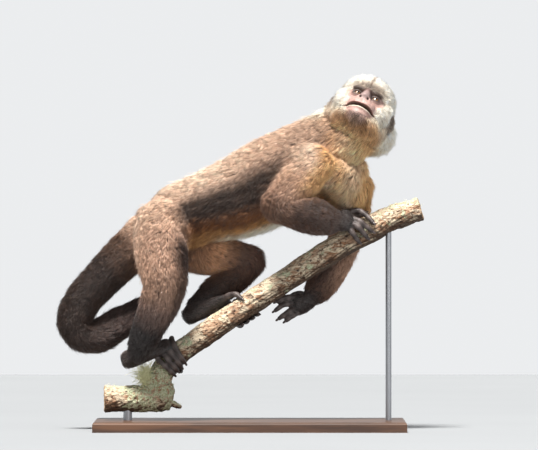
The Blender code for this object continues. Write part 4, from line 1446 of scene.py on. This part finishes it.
class Finish:
    """A material under construction."""

    def __init__(self, name, **constants):
        self.material = bpy.data.materials.new(name)
        self.material.use_nodes = True
        self.tree = self.material.node_tree
        self.shader = self.tree.nodes["Principled BSDF"]
        for word, value in constants.items():
            self.shader.inputs[socket_title(word)].default_value = value

    def node(self, kind, settings=(), inputs=(), output=0):
        made = any_node(self.tree, "ShaderNode" + kind, settings, inputs)
        return Output(self, made.outputs[output])

    def math(self, operation, first, second=0.0):
        return self.node("Math", {"operation": operation}, {0: first, 1: second})

    def set(self, **links):
        """Links outputs to the shader, and gives back the finished material."""
        for word, value in links.items():
            self.tree.links.new(value.socket, self.shader.inputs[socket_title(word)])
        return self.material

    def place(self, scale=None):
        """Object coordinates, stretched by a scale if there is one."""
        found = self.node("TexCoord", output="Object")
        if scale is None:
            return found
        return self.node("VectorMath", {"operation": "MULTIPLY"}, {0: found, 1: scale})

    def noise(self, scale, detail=3.0, place=None):
        inputs = {"Scale": scale, "Detail": detail, "Roughness": 0.55}
        inputs["Vector"] = place or self.place()
        return self.node("TexNoise", {}, inputs)

    def edges(self, scale, place):
        """How far a point is from the edge of its cell, in a pattern of irregular cells."""
        settings = {"feature": "DISTANCE_TO_EDGE"}
        return self.node("TexVoronoi", settings, {"Vector": place, "Scale": scale})

    def attribute(self, name):
        """Colours stored on the mesh."""
        return self.node("Attribute", {"attribute_name": name}, output="Color")

    def number(self, name):
        """Numbers stored on the mesh."""
        return self.node("Attribute", {"attribute_name": name}, output="Fac")

    def step(self, value, low, high):
        """0 below low and 1 above high, with a smooth climb between."""
        settings = {"interpolation_type": "SMOOTHSTEP"}
        return self.node("MapRange", settings, {"Value": value, "From Min": low, "From Max": high})

    def mix(self, factor, first, second, blend="MIX"):
        """A colour between two colours."""
        def plain(tint):
            return tint if isinstance(tint, Output) else (*tint, 1.0)

        settings = {"data_type": "RGBA", "blend_type": blend}
        return self.node("Mix", settings, {0: factor, 6: plain(first), 7: plain(second)}, 2)

    def layered(self, tint, layers, blend="MIX"):
        """A colour under others: each layer is a mask and the colour that it lets through."""
        for mask, other in layers:
            tint = self.mix(mask, tint, other, blend)
        return tint

    def bump(self, height, strength, distance):
        inputs = {"Height": height, "Strength": strength, "Distance": distance}
        return self.node("Bump", {}, inputs)


def finished_in(obj, material):
    obj.data.materials.clear()
    obj.data.materials.append(material)
    return obj


# %% [markdown]
# ## Hair and bare skin
#
# Hair takes its colour from the markings, with a faint streak of noise. Bare skin has fine
# pores and mottling, and the fingers have creases across them. Four numbers stored on the skin
# tell the shader where a finger is, how far along it a point lies, where its knuckles are, which
# get a painted highlight, and where the gaps beside it are, which get painted shade. Skin and hair
# read the same markings, so that the coat's edge fades into the skin.

# %% Hair
def hair_finish():
    hair = Finish("soft hair", sheen_weight=0.15, specular_ior_level=0.35)
    streak = hair.noise(900, 2.0)
    tint = hair.mix(streak * 0.35, hair.attribute("markings"), colour(255, 236, 214), "SOFT_LIGHT")
    return hair.set(base_color=tint, roughness=0.52 + streak * 0.2)


HAIR = hair_finish()
for coat in coats:
    finished_in(coat, HAIR)
    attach(coat, "root")
print(len(coats), "pieces of coat in", HAIR.name)


# %% Numbers for the digits
KNUCKLE_PLACES, KNUCKLE_REACH = (0.02, 0.40, 0.74), 0.09  # as shares of a digit's length


def set_numbers(mesh, name, values):
    attribute = mesh.attributes.new(name, "FLOAT", "POINT")
    attribute.data.foreach_set("value", np.asarray(values, np.float32))


def mark_digits(points):
    """Stores on the skin where fingers and toes are, how far along them, their knuckles, and the gaps
    between them that get painted shade.
    """
    off, onward, knuckled = np.full(len(points), np.inf), np.zeros(len(points)), np.zeros(len(points))
    for path, _ in digits:
        low, high = path[:, :3].min(0) - 0.01, path[:, :3].max(0) + 0.01
        close = np.flatnonzero(((points > low) & (points < high)).all(1))
        reach, share, _, _ = along(points[close], path)
        length = np.linalg.norm(np.diff(path[:, :3], axis=0), axis=1).sum()
        nearer = reach < off[close]
        here, t = close[nearer], share[nearer]
        off[here], onward[here] = reach[nearer], t * length
        knuckled[here] = np.exp(-(((t[:, None] - KNUCKLE_PLACES) / KNUCKLE_REACH) ** 2)).sum(1)
    set_numbers(skin.data, "on_digit", smoothstep(1.7, 1.2, off))
    # The gaps between the digits, which the shader darkens with painted shade.
    set_numbers(skin.data, "between_digits", smoothstep(1.02, 1.22, off) * smoothstep(2.0, 1.5, off))
    set_numbers(skin.data, "along_digit", onward)
    set_numbers(skin.data, "knuckles", knuckled * smoothstep(1.4, 1.1, off))


mark_digits(points_of(skin.data))
print(len(digits), "digits marked on the skin")


# %% Skin's pores, mottling and creases
CREASES_APART = 0.0011


def skin_finish():
    bare = Finish("bare skin", specular_ior_level=0.5)
    pores, cells = bare.noise(1500, 3.0), bare.edges(1300.0, bare.place())
    bands = bare.number("along_digit") * (2 * math.pi / CREASES_APART) + bare.noise(420, 3.0) * 11
    bands = bare.math("SINE", bands) * bare.number("on_digit")
    tint = bare.layered(bare.attribute("markings"), [
        (bare.step(bare.noise(110, 3.0), 0.35, 0.75) * 0.4, colour(214, 188, 180)),
        (bare.step(pores, 0.5, 0.8) * 0.4, colour(176, 158, 154)),
        (bare.step(bare.noise(520, 4.0), 0.48, 0.62) * 0.4, colour(186, 164, 160)),  # mottling
        (bare.step(bands, -0.2, -0.9) * 0.3, colour(130, 118, 116)),  # creases
    ], "MULTIPLY")
    tint = bare.layered(tint, [
        # Painted highlight on the knuckles.
        (bare.number("knuckles") * 0.22, colour(150, 136, 130)),
        # Painted shade in the gaps between the digits.
        (bare.number("between_digits") * 0.9, colour(12, 9, 9)),
    ])
    fine = bare.bump(bare.step(cells, 0.0, 0.2) * 0.5 + pores * 0.7 + bands * 0.35, 0.35, 0.0004)
    return bare.set(base_color=tint, roughness=0.34 + pores * 0.20, normal=fine)


finished_in(skin, skin_finish())
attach(skin, "root")
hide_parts(*FLESH)
print("one skin replaces", len(FLESH), "solids")

# %% [markdown]
# ## Eyeballs
#
# An eye is a ball with a clear bulge over an amber iris. Rings of colour about the gaze are an
# attribute: pupil, iris, its dark rim, and the dark white of a monkey's eye. The lower half is
# lighter, as where light falls through the bulge onto the iris.

# %% Eyeballs and their rings
GAZE_ACROSS, GAZE_UP = math.radians(6), math.radians(2)
PUPIL, IRIS_INNER, IRIS, RIM, WHITE = (
    colour(8, 6, 6), colour(122, 78, 40), colour(74, 44, 24), colour(18, 12, 10), colour(70, 52, 46),
)
LIT_IRIS = colour(188, 146, 98)


def eyeball(name):
    points, faces = ball((0, 0, 0), (1, 1, 1), level=6)
    gaze = unit(FORWARD + math.tan(GAZE_ACROSS) * LEFTWARD + math.tan(GAZE_UP) * UPWARD)
    off = np.degrees(np.arccos(np.clip(points @ gaze, -1, 1)))
    radii = EYE_RADIUS + 0.00045 * smoothstep(32, 10, off)
    obj = new_object(name.replace("eye", "eyeball"), eye_middle(name) + points * radii[:, None], faces)
    tints = between([
        (0, PUPIL), (11, PUPIL), (12.5, IRIS_INNER), (20, IRIS), (24, IRIS), (27, RIM), (31, RIM),
        (38, WHITE), (180, WHITE),
    ], off)
    lit = smoothstep(0.05, -0.30, points @ UPWARD) * smoothstep(11.5, 13, off) * smoothstep(40, 26, off)
    tints = mixed(tints, LIT_IRIS, lit * 0.5)
    set_colours(obj.data, "iris", tints)
    obj.data.shade_smooth()
    return obj


# %% Eyes in their sockets
wet = Finish("wet eye", roughness=0.06, coat_weight=1.0, coat_roughness=0.02)
fibres = wet.noise(2400, 2.0)
WET_EYE = wet.set(base_color=wet.mix(fibres * 0.3, wet.attribute("iris"), colour(60, 34, 18)))
for name in EYES:
    eye = finished_in(eyeball(name), WET_EYE)
    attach(eye, "root")
    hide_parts(name)
print("two eyeballs in", WET_EYE.name)

# %% [markdown]
# ## Nails
#
# Twenty nails are one small shape set on twenty fingertips, which is what Geometry Nodes are
# for. The fingertips are points that carry two directions. The tree makes the nail, turns it to
# them, and realizes the instances, because only plain meshes leave Blender.

# %% A short way to write a tree
class Tree:
    """A Geometry Nodes tree under construction."""

    def __init__(self, name, **sizes):
        self.group = bpy.data.node_groups.new(name, "GeometryNodeTree")
        self.group.interface.new_socket("Geometry", in_out="INPUT", socket_type="NodeSocketGeometry")
        self.group.interface.new_socket("Geometry", in_out="OUTPUT", socket_type="NodeSocketGeometry")
        self.sizes = {}
        for size, value in sizes.items():
            title = size.replace("_", " ")
            kind = "NodeSocketInt" if isinstance(value, int) else "NodeSocketFloat"
            socket = self.group.interface.new_socket(title, in_out="INPUT", socket_type=kind)
            self.sizes[socket.identifier] = value
        self.start = self.group.nodes.new("NodeGroupInput")
        self.end = self.group.nodes.new("NodeGroupOutput")

    def __getitem__(self, title):
        return self.start.outputs[title]

    def node(self, kind, settings=(), inputs=(), output=0):
        return any_node(self.group, kind, settings, inputs).outputs[output]

    def stored(self, name, kind="FLOAT"):
        """Numbers or directions stored on the mesh."""
        return self.node("GeometryNodeInputNamedAttribute", {"data_type": kind}, {"Name": name})

    def times(self, first, second):
        return self.node("ShaderNodeMath", {"operation": "MULTIPLY"}, {0: first, 1: second})

    def run(self, obj, instances, material):
        """Realizes the instances on the object, gives them the material, and applies the tree."""
        real = self.node("GeometryNodeRealizeInstances", {}, {0: instances})
        done = self.node("GeometryNodeSetMaterial", {}, {"Geometry": real, "Material": material})
        self.group.links.new(done, self.end.inputs[0])
        modifier = obj.modifiers.new(self.group.name, "NODES")
        modifier.node_group = self.group
        for identifier, value in self.sizes.items():
            modifier[identifier] = value
        return applied(obj)


def points_object(name, points, **vectors):
    """An object of loose points that carry named directions."""
    mesh = bpy.data.meshes.new(name)
    mesh.from_pydata(np.asarray(points).tolist(), [], [])
    for title, values in vectors.items():
        attribute = mesh.attributes.new(title, "FLOAT_VECTOR", "POINT")
        attribute.data.foreach_set("vector", np.asarray(values, float).ravel())
    return linked(name, mesh)


def facing_rotation(tree, outward, onward):
    """A turn that sets Z along the outward attribute and X along the onward one."""
    outward, onward = tree.stored(outward, "FLOAT_VECTOR"), tree.stored(onward, "FLOAT_VECTOR")
    first = tree.node("FunctionNodeAlignRotationToVector", {"axis": "Z"}, {"Vector": outward})
    return tree.node(
        "FunctionNodeAlignRotationToVector", {"axis": "X", "pivot_axis": "Z"},
        {"Rotation": first, "Vector": onward},
    )


# %% Nails on every digit
def make_nails():
    tips, outward, onward = [], [], []
    for path, back in digits:
        way = unit(path[-1, :3] - path[-2, :3])
        out = unit(back - (back @ way) * way)
        tips.append(path[-1, :3] + way * path[-1, 3] * 0.75 + out * path[-1, 3] * 0.45)
        outward.append(out)
        onward.append(way)
    horn = Finish("dark nail", roughness=0.28, coat_weight=0.3)
    bands = horn.noise(700, 2.0)
    material = horn.set(base_color=horn.mix(bands, colour(84, 72, 70), colour(44, 37, 37)))
    nails = points_object("nails", tips, outward=outward, onward=onward)
    tree = Tree("nails", nail_length=0.0032, nail_width=0.0017, nail_height=0.0012)
    sphere = tree.node("GeometryNodeMeshUVSphere", {}, {"Segments": 20, "Rings": 12, "Radius": 1.0})
    size = tree.node("ShaderNodeCombineXYZ", {}, {
        "X": tree["nail length"], "Y": tree["nail width"], "Z": tree["nail height"],
    })
    nail = tree.node("GeometryNodeTransform", {}, {"Geometry": sphere, "Scale": size})
    turned = facing_rotation(tree, "outward", "onward")
    placed = tree.node("GeometryNodeInstanceOnPoints", {}, {
        "Points": tree["Geometry"], "Instance": nail, "Rotation": turned,
    })
    tree.run(nails, placed, material)
    nails.data.shade_smooth()
    return nails


nails = make_nails()
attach(nails, "root")
print("nails:", triangles_of(nails), "triangles")

# %% [markdown]
# ## The perch
#
# The branch grows from the stub of a log, with a splinter below the fork. All are lofts, melted
# together by a voxel remesh like the skin, and then roughened: slow swellings, cracks along the
# grain, and fine roughness. Noise moves each point along its normal.

# %% Branch, fork and log
LOG = [
    (-0.196, 0.0, 0.0425, 0.0180), (-0.150, 0.0, 0.0425, 0.0178), (-0.118, 0.0, 0.0430, 0.0182),
    (-0.105, 0.0, 0.0410, 0.0140),
]
RISE = 0.64  # how much the branch climbs for each metre along X


def knobbly(stations, swell, turns):
    """Stations with a slow swelling, as on a branch that has lost its twigs."""
    rows = smooth_rows(stations, 3)
    k = np.arange(len(rows))
    wide = rows[:, 3] * (1 + swell * np.sin(turns * k))
    deep = rows[:, 3] * (1 + swell * np.cos(turns * k))
    return np.column_stack([rows[:, :3], wide, deep])


def bark_relief(points):
    """How far the bark stands out at each point: swellings, cracks along the grain, roughness."""
    found = []
    for p in points:
        place = Vector(p)
        grain = Vector((p[0] * 40, p[1] * 160, (p[2] - RISE * p[0]) * 160))
        slow = noise.fractal(place * 45, 1.0, 2.0, 2)
        crack = abs(noise.noise(grain))
        fine = noise.fractal(place * 260, 0.9, 2.0, 3)
        found.append(0.0008 * slow + 0.0010 * min(crack * 3, 1) + 0.00045 * fine - 0.0003)
    return np.array(found)


# %% The perch as one surface
def make_perch():
    stems = [(x, 0.0, z, r) for x, z, r in BRANCH[::8]]
    splinter = [(-0.112, -0.003, 0.038, 0.006), (-0.094, -0.004, 0.032, 0.003)]
    shapes = [
        loft(knobbly(stems, 0.03, 1.7), BESIDE, steps=2, sides=28, dome=0.05),
        loft(knobbly(LOG, 0.04, 2.3), BESIDE, steps=2, sides=28, dome=0.05),
        loft(splinter, BESIDE, steps=4, sides=12),
        ball((-0.122, 0.0, 0.056), (0.019, 0.018, 0.019)),  # where branch and log join
    ]
    perch = fused("perch", shapes, 0.0012, 2)
    points, normals = points_of(perch.data), normals_of(perch.data)
    move_points(perch.data, points + normals * (bark_relief(points) - 0.0004)[:, None])
    perch.data.shade_smooth()
    return perch


perch = make_perch()
print("perch:", triangles_of(perch), "triangles")

# %% [markdown]
# The bark is paler on top, as painted light, and darker beneath, as painted shade, with brown
# patches, pale flakes, cracks and pits. Lichen grows as a grey-green crust, thickest about the
# fork. Where it grows is an attribute, so that the same places also bear the bushy lichen.

# %% Where things are on the bark
def lichen_cover(points, normals):
    """How much of the bark is under a crust of lichen at each point."""
    found = []
    for p, n in zip(points, normals):
        patch = noise.fractal(Vector(p) * 70 + Vector((3, 1, 7)), 0.8, 2.0, 3)
        about_fork = math.exp(-(((p[0] + 0.128) / 0.045) ** 2)) * 0.55
        found.append(patch * 0.5 + 0.05 + about_fork + 0.22 * n[2])
    return smoothstep(0.26, 0.44, np.array(found))


def cut_ends(points, normals):
    """1 on the sawn ends of branch and log, and 0 elsewhere."""
    found = np.zeros(len(points))
    for end, way in ((BRANCH[-1, [0, 1]], (1, 0, 0.36)), ((LOG[0][0], LOG[0][2]), (-1, 0, 0))):
        facing = normals @ unit(np.array(way, float))
        close = np.hypot(points[:, 0] - end[0], points[:, 2] - end[1]) < 0.024
        found = np.maximum(found, smoothstep(0.80, 0.92, facing) * close)
    return found


perch_points, perch_normals = points_of(perch.data), normals_of(perch.data)
crusted = lichen_cover(perch_points, perch_normals)
set_numbers(perch.data, "lichen", crusted)
# Which way the bark faces, for painted light on top and painted shade beneath.
set_numbers(perch.data, "upward", perch_normals[:, 2])
set_numbers(perch.data, "cut", cut_ends(perch_points, perch_normals))
print("crust covers", round(float(crusted.mean()) * 100), "% of the bark")


# %% Bark
def bark_finish():
    bark = Finish("bark", specular_ior_level=0.3)
    along_grain = bark.place((0.40, 1.8, 1.8))
    slow, fine, grain = bark.noise(38), bark.noise(420, 4.0), bark.noise(150, 4.0, along_grain)
    flakes = bark.step(bark.noise(85, 4.0, bark.place((0.7, 1.3, 1.3))), 0.53, 0.57)
    cracks = bark.step(bark.edges(75.0, along_grain) + fine * 0.08, 0.10, 0.04)
    crumbs, up = bark.noise(650, 3.0), bark.number("upward")
    crust = bark.number("lichen") * bark.step(bark.noise(240, 3.0), 0.36, 0.52)
    green = bark.mix(bark.step(crumbs, 0.35, 0.6), colour(140, 148, 110), colour(196, 198, 170))
    wood = bark.mix(bark.noise(240, 3.0), colour(206, 172, 128), colour(150, 112, 78))
    tint = bark.layered(colour(138, 106, 82), [
        (bark.step(grain, 0.38, 0.60), colour(208, 190, 164)),
        (bark.step(slow, 0.46, 0.58) * 0.65, colour(146, 104, 76)),  # brown patches
        (flakes * 0.8, colour(208, 192, 166)),
        (bark.step(bark.noise(120, 4.0), 0.56, 0.62) * 0.85, colour(92, 66, 50)),  # dark spots
        (cracks * bark.step(slow, 0.60, 0.48) * 0.45, colour(64, 46, 36)),
        (bark.step(up, 0.10, 0.90) * 0.35, colour(220, 204, 180)),  # painted light on the upper side
        (bark.step(up, -0.05, -0.70) * 0.9, colour(54, 38, 28)),  # painted shade beneath
        (bark.step(bark.noise(300, 2.0), 0.59, 0.66) * 0.85, colour(46, 33, 28)),  # pits
        (crust, green),
        (bark.number("cut"), wood),
    ])
    height = grain * 0.9 + fine * 0.6 + crumbs * crust * 1.2 + flakes * 0.5 - cracks * 0.6
    return bark.set(base_color=tint, roughness=0.78 + fine * 0.2, normal=bark.bump(height, 0.9, 0.0014))


finished_in(perch, bark_finish())
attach(perch, "root")
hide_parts("perch_branch", "perch_fork")
print("bark finished on", len(perch_points), "points")

# %% [markdown]
# ## Bushy lichen
#
# Old man's beard stands on the fork in a small tangled bush, with short sprigs along the bark. A
# frond is a spray of curved threads, and Geometry Nodes set about two hundred of them, turned
# and sized at random from one seed. How tall they grow is a number stored on the bark.

# %% Fronds
def frond_points(sprays=6):
    """A little bush of bent threads as one mesh, a unit high."""
    shapes = []
    for k in range(sprays):
        turn = 2 * math.pi * k / sprays
        path = []
        for t in np.linspace(0, 1, 5):
            out = 0.10 + 0.40 * t + 0.22 * math.sin(5 * t + k)
            bend = turn + 3.2 * t
            tall = t * (0.70 + 0.30 * math.sin(2.4 * k)) + 0.06 * math.sin(7 * t + 2 * k)
            thick = 0.012 * (1 - 0.7 * t) + 0.003
            path.append((out * t * math.cos(bend), out * t * math.sin(bend), tall, thick))
        shapes.append(loft(path, BESIDE + 0.01, steps=1, sides=3, dome=0.2))
    return merged(shapes)


frond = new_object("frond", *frond_points())
frond.data.shade_smooth()
print("a frond has", triangles_of(frond), "triangles")

# %% Where fronds grow
LICHEN_BUSH = np.array((-0.141, -0.008, 0.070))
BUSH_RADII = np.array((0.010, 0.012, 0.012))


def lichen_bed():
    """A copy of the perch that carries how thickly fronds stand, and how tall."""
    bed = linked("beard_lichen", perch.data.copy())
    off = np.linalg.norm((perch_points - LICHEN_BUSH) / BUSH_RADII, axis=1)
    bush = smoothstep(1.15, 0.6, off) * (perch_normals[:, 2] > -0.2)
    free = nearest(perch_points, DIGIT_POINTS)[1] > 0.012
    sprigs = crusted * (perch_normals[:, 2] > 0.2) * free
    set_numbers(bed.data, "bushes", bush + 0.05 * sprigs)
    set_numbers(bed.data, "tall", 0.004 + 0.019 * bush)
    return bed


lichen = lichen_bed()
print("a bed of", len(lichen.data.polygons), "faces for the fronds")


# %% The tree that sets the fronds
def set_fronds(bed, material):
    tree = Tree("beard lichen", most_fronds=260000.0, seed=11, shortest=0.35, longest=1.25)
    crowd = tree.times(tree.stored("bushes"), tree["most fronds"])
    scatter = {"Mesh": tree["Geometry"], "Density": crowd, "Seed": tree["seed"]}
    spots = tree.node("GeometryNodeDistributePointsOnFaces", {}, scatter)
    up = {0: spots.node.outputs["Normal"], 1: (-0.3, -0.2, 1.6)}
    upright = {"Vector": tree.node("ShaderNodeVectorMath", {"operation": "ADD"}, up)}
    turned = tree.node("FunctionNodeAlignRotationToVector", {"axis": "Z"}, upright)
    spin = {0: (-0.6, -0.6, -3.1), 1: (0.6, 0.6, 3.1), "Seed": tree["seed"]}
    spin = tree.node("FunctionNodeRandomValue", {"data_type": "FLOAT_VECTOR"}, spin)
    angle = tree.node("FunctionNodeEulerToRotation", {}, {0: spin})
    turned = tree.node("FunctionNodeRotateRotation", {"rotation_space": "LOCAL"}, {0: turned, 1: angle})
    share = {2: tree["shortest"], 3: tree["longest"], "Seed": tree["seed"]}
    share = tree.node("FunctionNodeRandomValue", {"data_type": "FLOAT"}, share, 1)
    one = tree.node("GeometryNodeObjectInfo", {}, {"Object": frond}, "Geometry")
    placed = tree.node("GeometryNodeInstanceOnPoints", {}, {
        "Points": spots, "Instance": one, "Rotation": turned,
        "Scale": tree.times(share, tree.stored("tall")),
    })
    tree.run(bed, placed, material)


moss = Finish("beard lichen", roughness=0.9)
moss_tint = moss.mix(moss.noise(300, 2.0), colour(220, 222, 162), colour(244, 242, 214))
set_fronds(lichen, moss.set(base_color=moss_tint))
bpy.data.objects.remove(frond)
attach(lichen, "root")
print("beard lichen:", triangles_of(lichen), "triangles")

# %% [markdown]
# ## The stand
#
# The plate and rods are plain solids of the right shape, so they stay, with finer finishes:
# oiled walnut with its grain along the plate, and brushed steel.

# %% Walnut and steel
def walnut_finish():
    wood = Finish("oiled walnut", coat_weight=0.15)
    sway = wood.noise(9, 2.0)
    grain = wood.noise(70, 4.0, wood.place((0.12, 1.4, 1.4)))
    streak = wood.noise(420, 3.0, wood.place((0.04, 1.0, 1.0)))
    tint = wood.mix(wood.step(grain + sway * 0.3, 0.45, 0.85), colour(92, 62, 42), colour(58, 37, 25))
    tint = wood.mix(wood.step(streak, 0.52, 0.7) * 0.5, tint, colour(36, 22, 15))
    relief = wood.bump(streak, 0.25, 0.0003)
    return wood.set(base_color=tint, roughness=0.34 + streak * 0.2, normal=relief)


def steel_finish():
    steel = Finish("brushed steel", metallic=1.0)
    brushed = steel.noise(900, 3.0, steel.place((1, 1, 0.03)))
    tint = steel.mix(brushed, colour(176, 178, 182), colour(142, 144, 148))
    scratches = steel.bump(brushed, 0.15, 0.0002)
    return steel.set(base_color=tint, roughness=0.24 + brushed * 0.18, normal=scratches)


WALNUT, STEEL = walnut_finish(), steel_finish()
finished_in(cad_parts["stand_base"], WALNUT)
for name in ("stand_rod_low", "stand_rod_high"):
    finished_in(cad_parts[name], STEEL)
print("a plate in", WALNUT.name, "and rods in", STEEL.name)

# %% [markdown]
# ## Stage, light and camera
#
# The floor is plain and pale. A sun high above lights the back and the crown, and leaves the
# flanks to the sky, which is brightest near the horizon. A faint lamp in front lifts the shade,
# and a small one above the head makes a highlight in each eye.
# The camera stands level with the animal and a long way off, as with a long lens.

# %% Floor and sky
FLOOR_HALF = 3.0
corners = [(x * FLOOR_HALF, y * FLOOR_HALF, 0) for x, y in ((-1, -1), (1, -1), (1, 1), (-1, 1))]
floor = new_object("floor", corners, [(0, 1, 2, 3)])
chalk = Finish("pale floor", roughness=0.9, specular_ior_level=0.1)
chalk_tint = chalk.mix(chalk.noise(3, 1.0), colour(138, 141, 144), colour(134, 137, 140))
finished_in(floor, chalk.set(base_color=chalk_tint))


def pale_sky(bright, dim):
    """A sky that is bright at the horizon, all round, and dimmer above and below."""
    world = bpy.data.worlds.new("pale sky")
    world.use_nodes = True
    tree = world.node_tree
    way = any_node(tree, "ShaderNodeTexCoord", {}, {}).outputs["Generated"]
    up = any_node(tree, "ShaderNodeSeparateXYZ", {}, {0: way}).outputs["Z"]
    height = any_node(tree, "ShaderNodeMath", {"operation": "ABSOLUTE"}, {0: up}).outputs[0]
    strength = any_node(tree, "ShaderNodeMapRange", {"interpolation_type": "SMOOTHSTEP"}, {
        "Value": height, "From Min": 0.08, "From Max": 0.30, "To Min": bright, "To Max": dim,
    }).outputs[0]
    sky = tree.nodes["Background"]
    sky.inputs["Color"].default_value = (0.97, 0.985, 1.0, 1)
    tree.links.new(strength, sky.inputs["Strength"])
    return world


bpy.context.scene.world = pale_sky(0.86, 0.26)
bpy.context.scene.view_settings.view_transform = "Standard"
print("a floor", 2 * FLOOR_HALF, "m wide under a", bpy.context.scene.world.name)


# %% Lamps
def lamp(name, kind, place, aim, power, tint=(1, 1, 1)):
    light = bpy.data.lights.new(name, kind)
    light.energy, light.color = power, tint
    obj = linked(name, light)
    obj.location = place
    obj.rotation_euler = (Vector(aim) - Vector(place)).to_track_quat("-Z", "Y").to_euler()
    return light


sun = lamp("sun", "SUN", (-0.25, -0.75, 2.2), (0, 0, 0.3), 9.5, (1.0, 0.97, 0.93))
sun.angle = math.radians(14)
front = lamp("front", "AREA", (0.9, -2.2, 0.8), (0.05, 0, 0.3), 11, (1.0, 0.98, 0.96))
front.size = 1.0
catch = lamp("catch light", "AREA", (0.35, -0.27, 1.30), HEAD_CENTRE, 1.6)
catch.size = 0.16
print(f"{sun.name}, {front.name} and {catch.name} are lit")

# %% Camera
METRES_ACROSS = 0.7263  # what the view takes in from left to right
LENS, SENSOR = 400.0, 36.0
AIM = Vector((0.0257, 0.0, 0.277))
camera = linked("camera", bpy.data.cameras.new("camera"))
camera.data.lens = LENS
camera.data.sensor_fit = "HORIZONTAL"
camera.data.sensor_width = SENSOR
camera.location = AIM + Vector((0, -METRES_ACROSS * LENS / SENSOR, 0))
camera.rotation_euler = (math.radians(90), 0, 0)
bpy.context.scene.camera = camera
print("the camera stands", round(-camera.location.y, 2), "m away")
